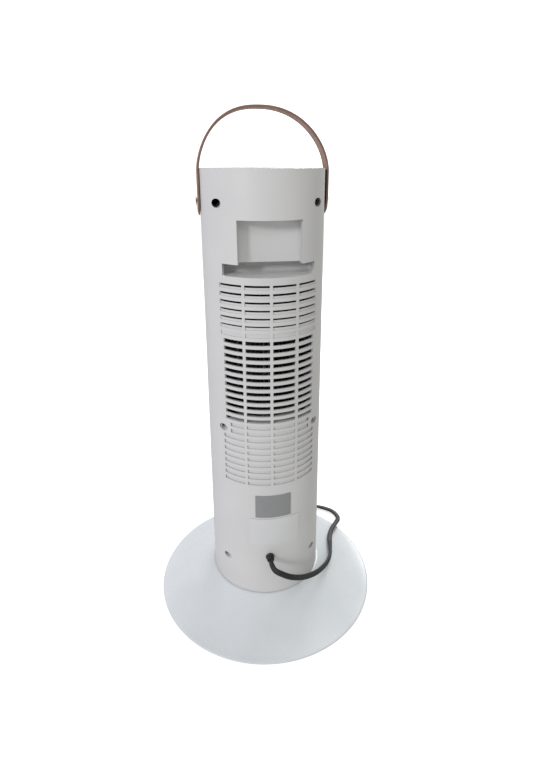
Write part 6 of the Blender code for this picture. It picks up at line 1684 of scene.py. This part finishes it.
# %% Marks on the caps
power, heat, timer, swivel = button_spots
broken_ring = [mark_arc(power, 0.0019, 120, 420, 30)]
broken_ring.append(mark_stroke(power, 0, 0.0017, 0.0018, 90))
waves = []
for dx in (-0.0013, 0, 0.0013):
    lower = heat[0] + dx - 0.0010, heat[1] + 0.0008
    upper = heat[0] + dx + 0.0014, heat[1] - 0.0008
    waves += [mark_arc(lower, 0.0010, -52, 52, 8), mark_arc(upper, 0.0010, 128, 232, 8)]
clock = [mark_arc(timer, 0.0020, 0, 359.9, 36)]
clock += [mark_stroke(timer, 0, 0.0006, 0.0012, 90), mark_stroke(timer, 0.0005, 0, 0.0010, 0)]
arrow = [mark_arc(swivel, 0.0020, 200, 340, 20)]
for side in (-1, 1):
    arrow.append(mark_stroke(swivel, side * 0.0020, -0.0003, 0.0011, 90 - side * 35))
    arrow.append(mark_stroke(swivel, side * 0.0026, -0.0006, 0.0010, side * 10))
for name, shapes in zip(button_names, (broken_ring, waves, clock, arrow)):
    finish_shape(join_shapes(name + "_mark", shapes), WHITE, (), name)

# %% [markdown]
# ## Screws
# Six blackened screws hold the two halves together, deep in round bores. Only their heads can
# be seen: a dome with a cross recess. One screw is turned, the two arms of the cross are
# boxes that narrow inwards, and the five others are copies.

# %% Screws
seat = BORE_SEAT + GAP
profile = [(0, seat - 0.0200), (0.0015, seat - 0.0200), (0.0015, seat), (0.0036, seat)]
profile += [(0.0036, seat + 0.0012), (0.0033, seat + 0.0020), (0.0025, seat + 0.0026)]
profile += [(0.0012, seat + 0.0029), (0, seat + 0.0030)]
screw = turned("screw", profile, 32, axis="Y")
arm = start_box("arm", (0.0038, 0.0025, 0.00084), (0, seat + 0.00215, 0))
pick(arm, "FACE", lambda face: face.normal.y < -0.9)
bpy.ops.transform.resize(value=(0.5, 1, 1), center_override=(0, seat, 0))
close_shape()
for turn in (math.pi / 4, 3 * math.pi / 4):
    cut_away(screw, copy_shape(arm, "arm_tool", turn=(0, turn, 0)))
bpy.data.objects.remove(arm, do_unlink=True)
for k, z in enumerate(SCREW_HEIGHTS):
    for side in (-1, 1):
        number = 2 * k + (1 if side < 0 else 2)
        x = side * tower_radius(z) * math.sin(math.radians(SCREW_ANGLE))
        made = copy_shape(screw, f"case_screw_{number}", (x, 0, z))
        finish_shape(made, BLACK_STEEL, (f"shell_screw_{number}",), sharp=40.0)
bpy.data.objects.remove(screw, do_unlink=True)

# %% [markdown]
# ## Labels
# Two stickers sit on the lower back: a metallised one and a paper one below it. They are left
# bare. A plane with a shrinkwrap would follow the tower, but its corners would pull out of
# round on the cone, so each label is a sheet whose columns are set on the cone by angle.

# %% Labels
LABEL_THICK = 0.0004


def label(name, node, material, first, last, low, high, corner_radius):
    """A thin label with rounded corners, wrapped on the tower."""
    inset = corner_radius / (tower_radius((high + low) / 2) + GAP + LABEL_THICK)
    inset = math.degrees(inset)
    bend = [math.pi / 2 * k / 6 for k in range(7)]
    spots = [(first + inset * (1 - math.cos(turn)), turn) for turn in bend]
    spots += [(angle, bend[6]) for angle in steps(first + inset, last - inset, 2.0)[1:]]
    spots += [(last - inset * (1 - math.cos(turn)), turn) for turn in reversed(bend)]
    mesh = bmesh.new()
    rows = []
    for angle, turn in spots:
        cut = corner_radius * (1 - math.sin(turn))
        heights = [low + cut + (high - low - 2 * cut) * t / 6 for t in range(7)]
        places = [(tower_radius(z) + GAP + LABEL_THICK, z) for z in heights]
        places += [(tower_radius(z) + GAP, z) for z in reversed(heights)]
        rows.append([mesh.verts.new(on_tower(radius, angle, z)) for radius, z in places])
    join_rings(mesh, rows, capped=True)
    finish_mesh(name, mesh, [material], (node,), sharp=40.0)


label("foil_label", "rating_label", FOIL, -18.8, 16.8, 0.1649, 0.1975, 0.0010)
label("white_label", "paper_label", PAPER, -28.6, 23.0, 0.1222, 0.1620, 0.0015)

# %% [markdown]
# ## Finishes of the parts that are carried over
# The pieces inside the heater keep their CAD shape and get their finish by the name of the
# material slot that the CAD model gave them.

# %% Finishes of the carried parts
LOOKS = {
    "white_plastic": WHITE,
    "base_white": BASE_WHITE,
    "grey_plastic": GREY,
    "dark_plastic": DARK,
    "black_plastic": BLACK,
    "black_gloss": GLOSS,
    "acetal": ACETAL,
    "rubber": RUBBER,
    "steel": STEEL,
    "black_steel": BLACK_STEEL,
    "zinc": ZINC,
    "bronze": BRONZE,
    "copper": COPPER,
    "aluminium": ALUMINIUM,
    "ceramic": CERAMIC,
    "board_green": BOARD,
    "leather": LEATHER,
    "foil": FOIL,
    "paper": PAPER,
    "cord_black": BLACK,
}
for name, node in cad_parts.items():
    for place in node.material_slots:
        slot_name = place.material.name.split(".")[0] if place.material else None
        # the chassis is sheet steel; its blackened finish is painted shade, so that the inside
        # seen through the slots looks dark
        if name == "chassis":
            place.material = BLACK_STEEL
        elif slot_name in LOOKS:
            place.material = LOOKS[slot_name]
        else:
            print("no look for", node.name, slot_name)
print("finishes given to", len(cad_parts), "nodes")

# %% [markdown]
# ## Floor and backdrop
# The photograph was cut out on white. A white room would do that too, but it would flood the
# object with light. So the floor and the sphere behind it are a white that only the camera
# sees, and the floor still shows the heater's shadow. Gloss, metal and glass reflect the pale
# world behind them instead.

# %% Floor and backdrop
def pale(name, dark, light, glow):
    """Painted paper on a roll, whose tone drifts over a third of a metre."""
    material, tree, shader, coords = start_material(
        name, Roughness=0.9, Specular_IOR_Level=0.0,
        Emission_Color=(1.0, 1.0, 1.0, 1.0), Emission_Strength=glow,
    )
    drift = add_node(
        tree, "ShaderNodeTexNoise", {"Vector": coords}, Scale=per_metre(333.0)
    ).outputs["Fac"]
    tone = add_node(tree, "ShaderNodeValToRGB", {"Fac": drift}, stops=((0.3, dark), (0.7, light)))
    tree.links.new(tone.outputs["Color"], shader.inputs["Base Color"])
    return material


floor = start_shape(
    "floor", bpy.ops.mesh.primitive_circle_add, vertices=64, radius=9.0, fill_type="NGON"
)
bpy.ops.object.mode_set(mode="OBJECT")
backdrop = start_shape(
    "backdrop", bpy.ops.mesh.primitive_uv_sphere_add, segments=64, ring_count=32, radius=9.0
)
bpy.ops.object.mode_set(mode="OBJECT")
for made, glow in ((floor, 0.52), (backdrop, 1.0)):
    made.data.materials.append(pale(made.name + "_white", "#F4F4F4", "#F8F8F8", glow))
    made.visible_diffuse = made.visible_shadow = made.visible_glossy = False
print("the floor is a disc of", round(floor.dimensions.x), "m")

# %% [markdown]
# ## Light
# The world lights the heater evenly, a little warmer and darker from one side than from the
# other. A small lamp high on the left draws the edges and the shadow in the recess, and two
# large ones fill the side towards the camera and the side away from it. Together they stay
# at a level at which a colour renders about as it is written.

# %% Light
world = bpy.data.worlds.new("studio")
world.use_nodes = True
tree = world.node_tree
around = add_node(tree, "ShaderNodeTexCoord").outputs["Generated"]
split = add_node(tree, "ShaderNodeSeparateXYZ", {"Vector": around})
sideways = add_node(
    tree, "ShaderNodeMapRange", {"Value": split.outputs["X"]}, From_Min=-1.0, From_Max=1.0
)
sky = add_node(
    tree, "ShaderNodeValToRGB", {"Fac": sideways.outputs["Result"]},
    stops=((0.0, "#B6B6B0"), (1.0, "#D8D6DC")),
)
tree.links.new(sky.outputs["Color"], tree.nodes["Background"].inputs["Color"])
tree.nodes["Background"].inputs["Strength"].default_value = 1.0
bpy.context.scene.world = world


def area_light(name, place, target, size, power):
    bpy.ops.object.light_add(type="AREA", location=place)
    lamp = bpy.context.object
    lamp.name = lamp.data.name = name
    lamp.data.shape, lamp.data.size, lamp.data.energy = "DISK", size, power
    lamp.rotation_euler = (Vector(target) - Vector(place)).to_track_quat("-Z", "Y").to_euler()
    lamp.visible_camera = False
    print(name, power, "W")


area_light("key", (2.30, 2.38, 1.64), (0, 0, 0.4), 0.60, 36.5)
area_light("front_fill", (0.2, 3.0, 2.5), (0, 0, 0.3), 1.2, 15.5)
area_light("back_fill", (-0.85, -1.45, 1.25), (0, 0, 0.1), 1.2, 24.0)
bpy.context.scene.view_settings.view_transform = "Standard"
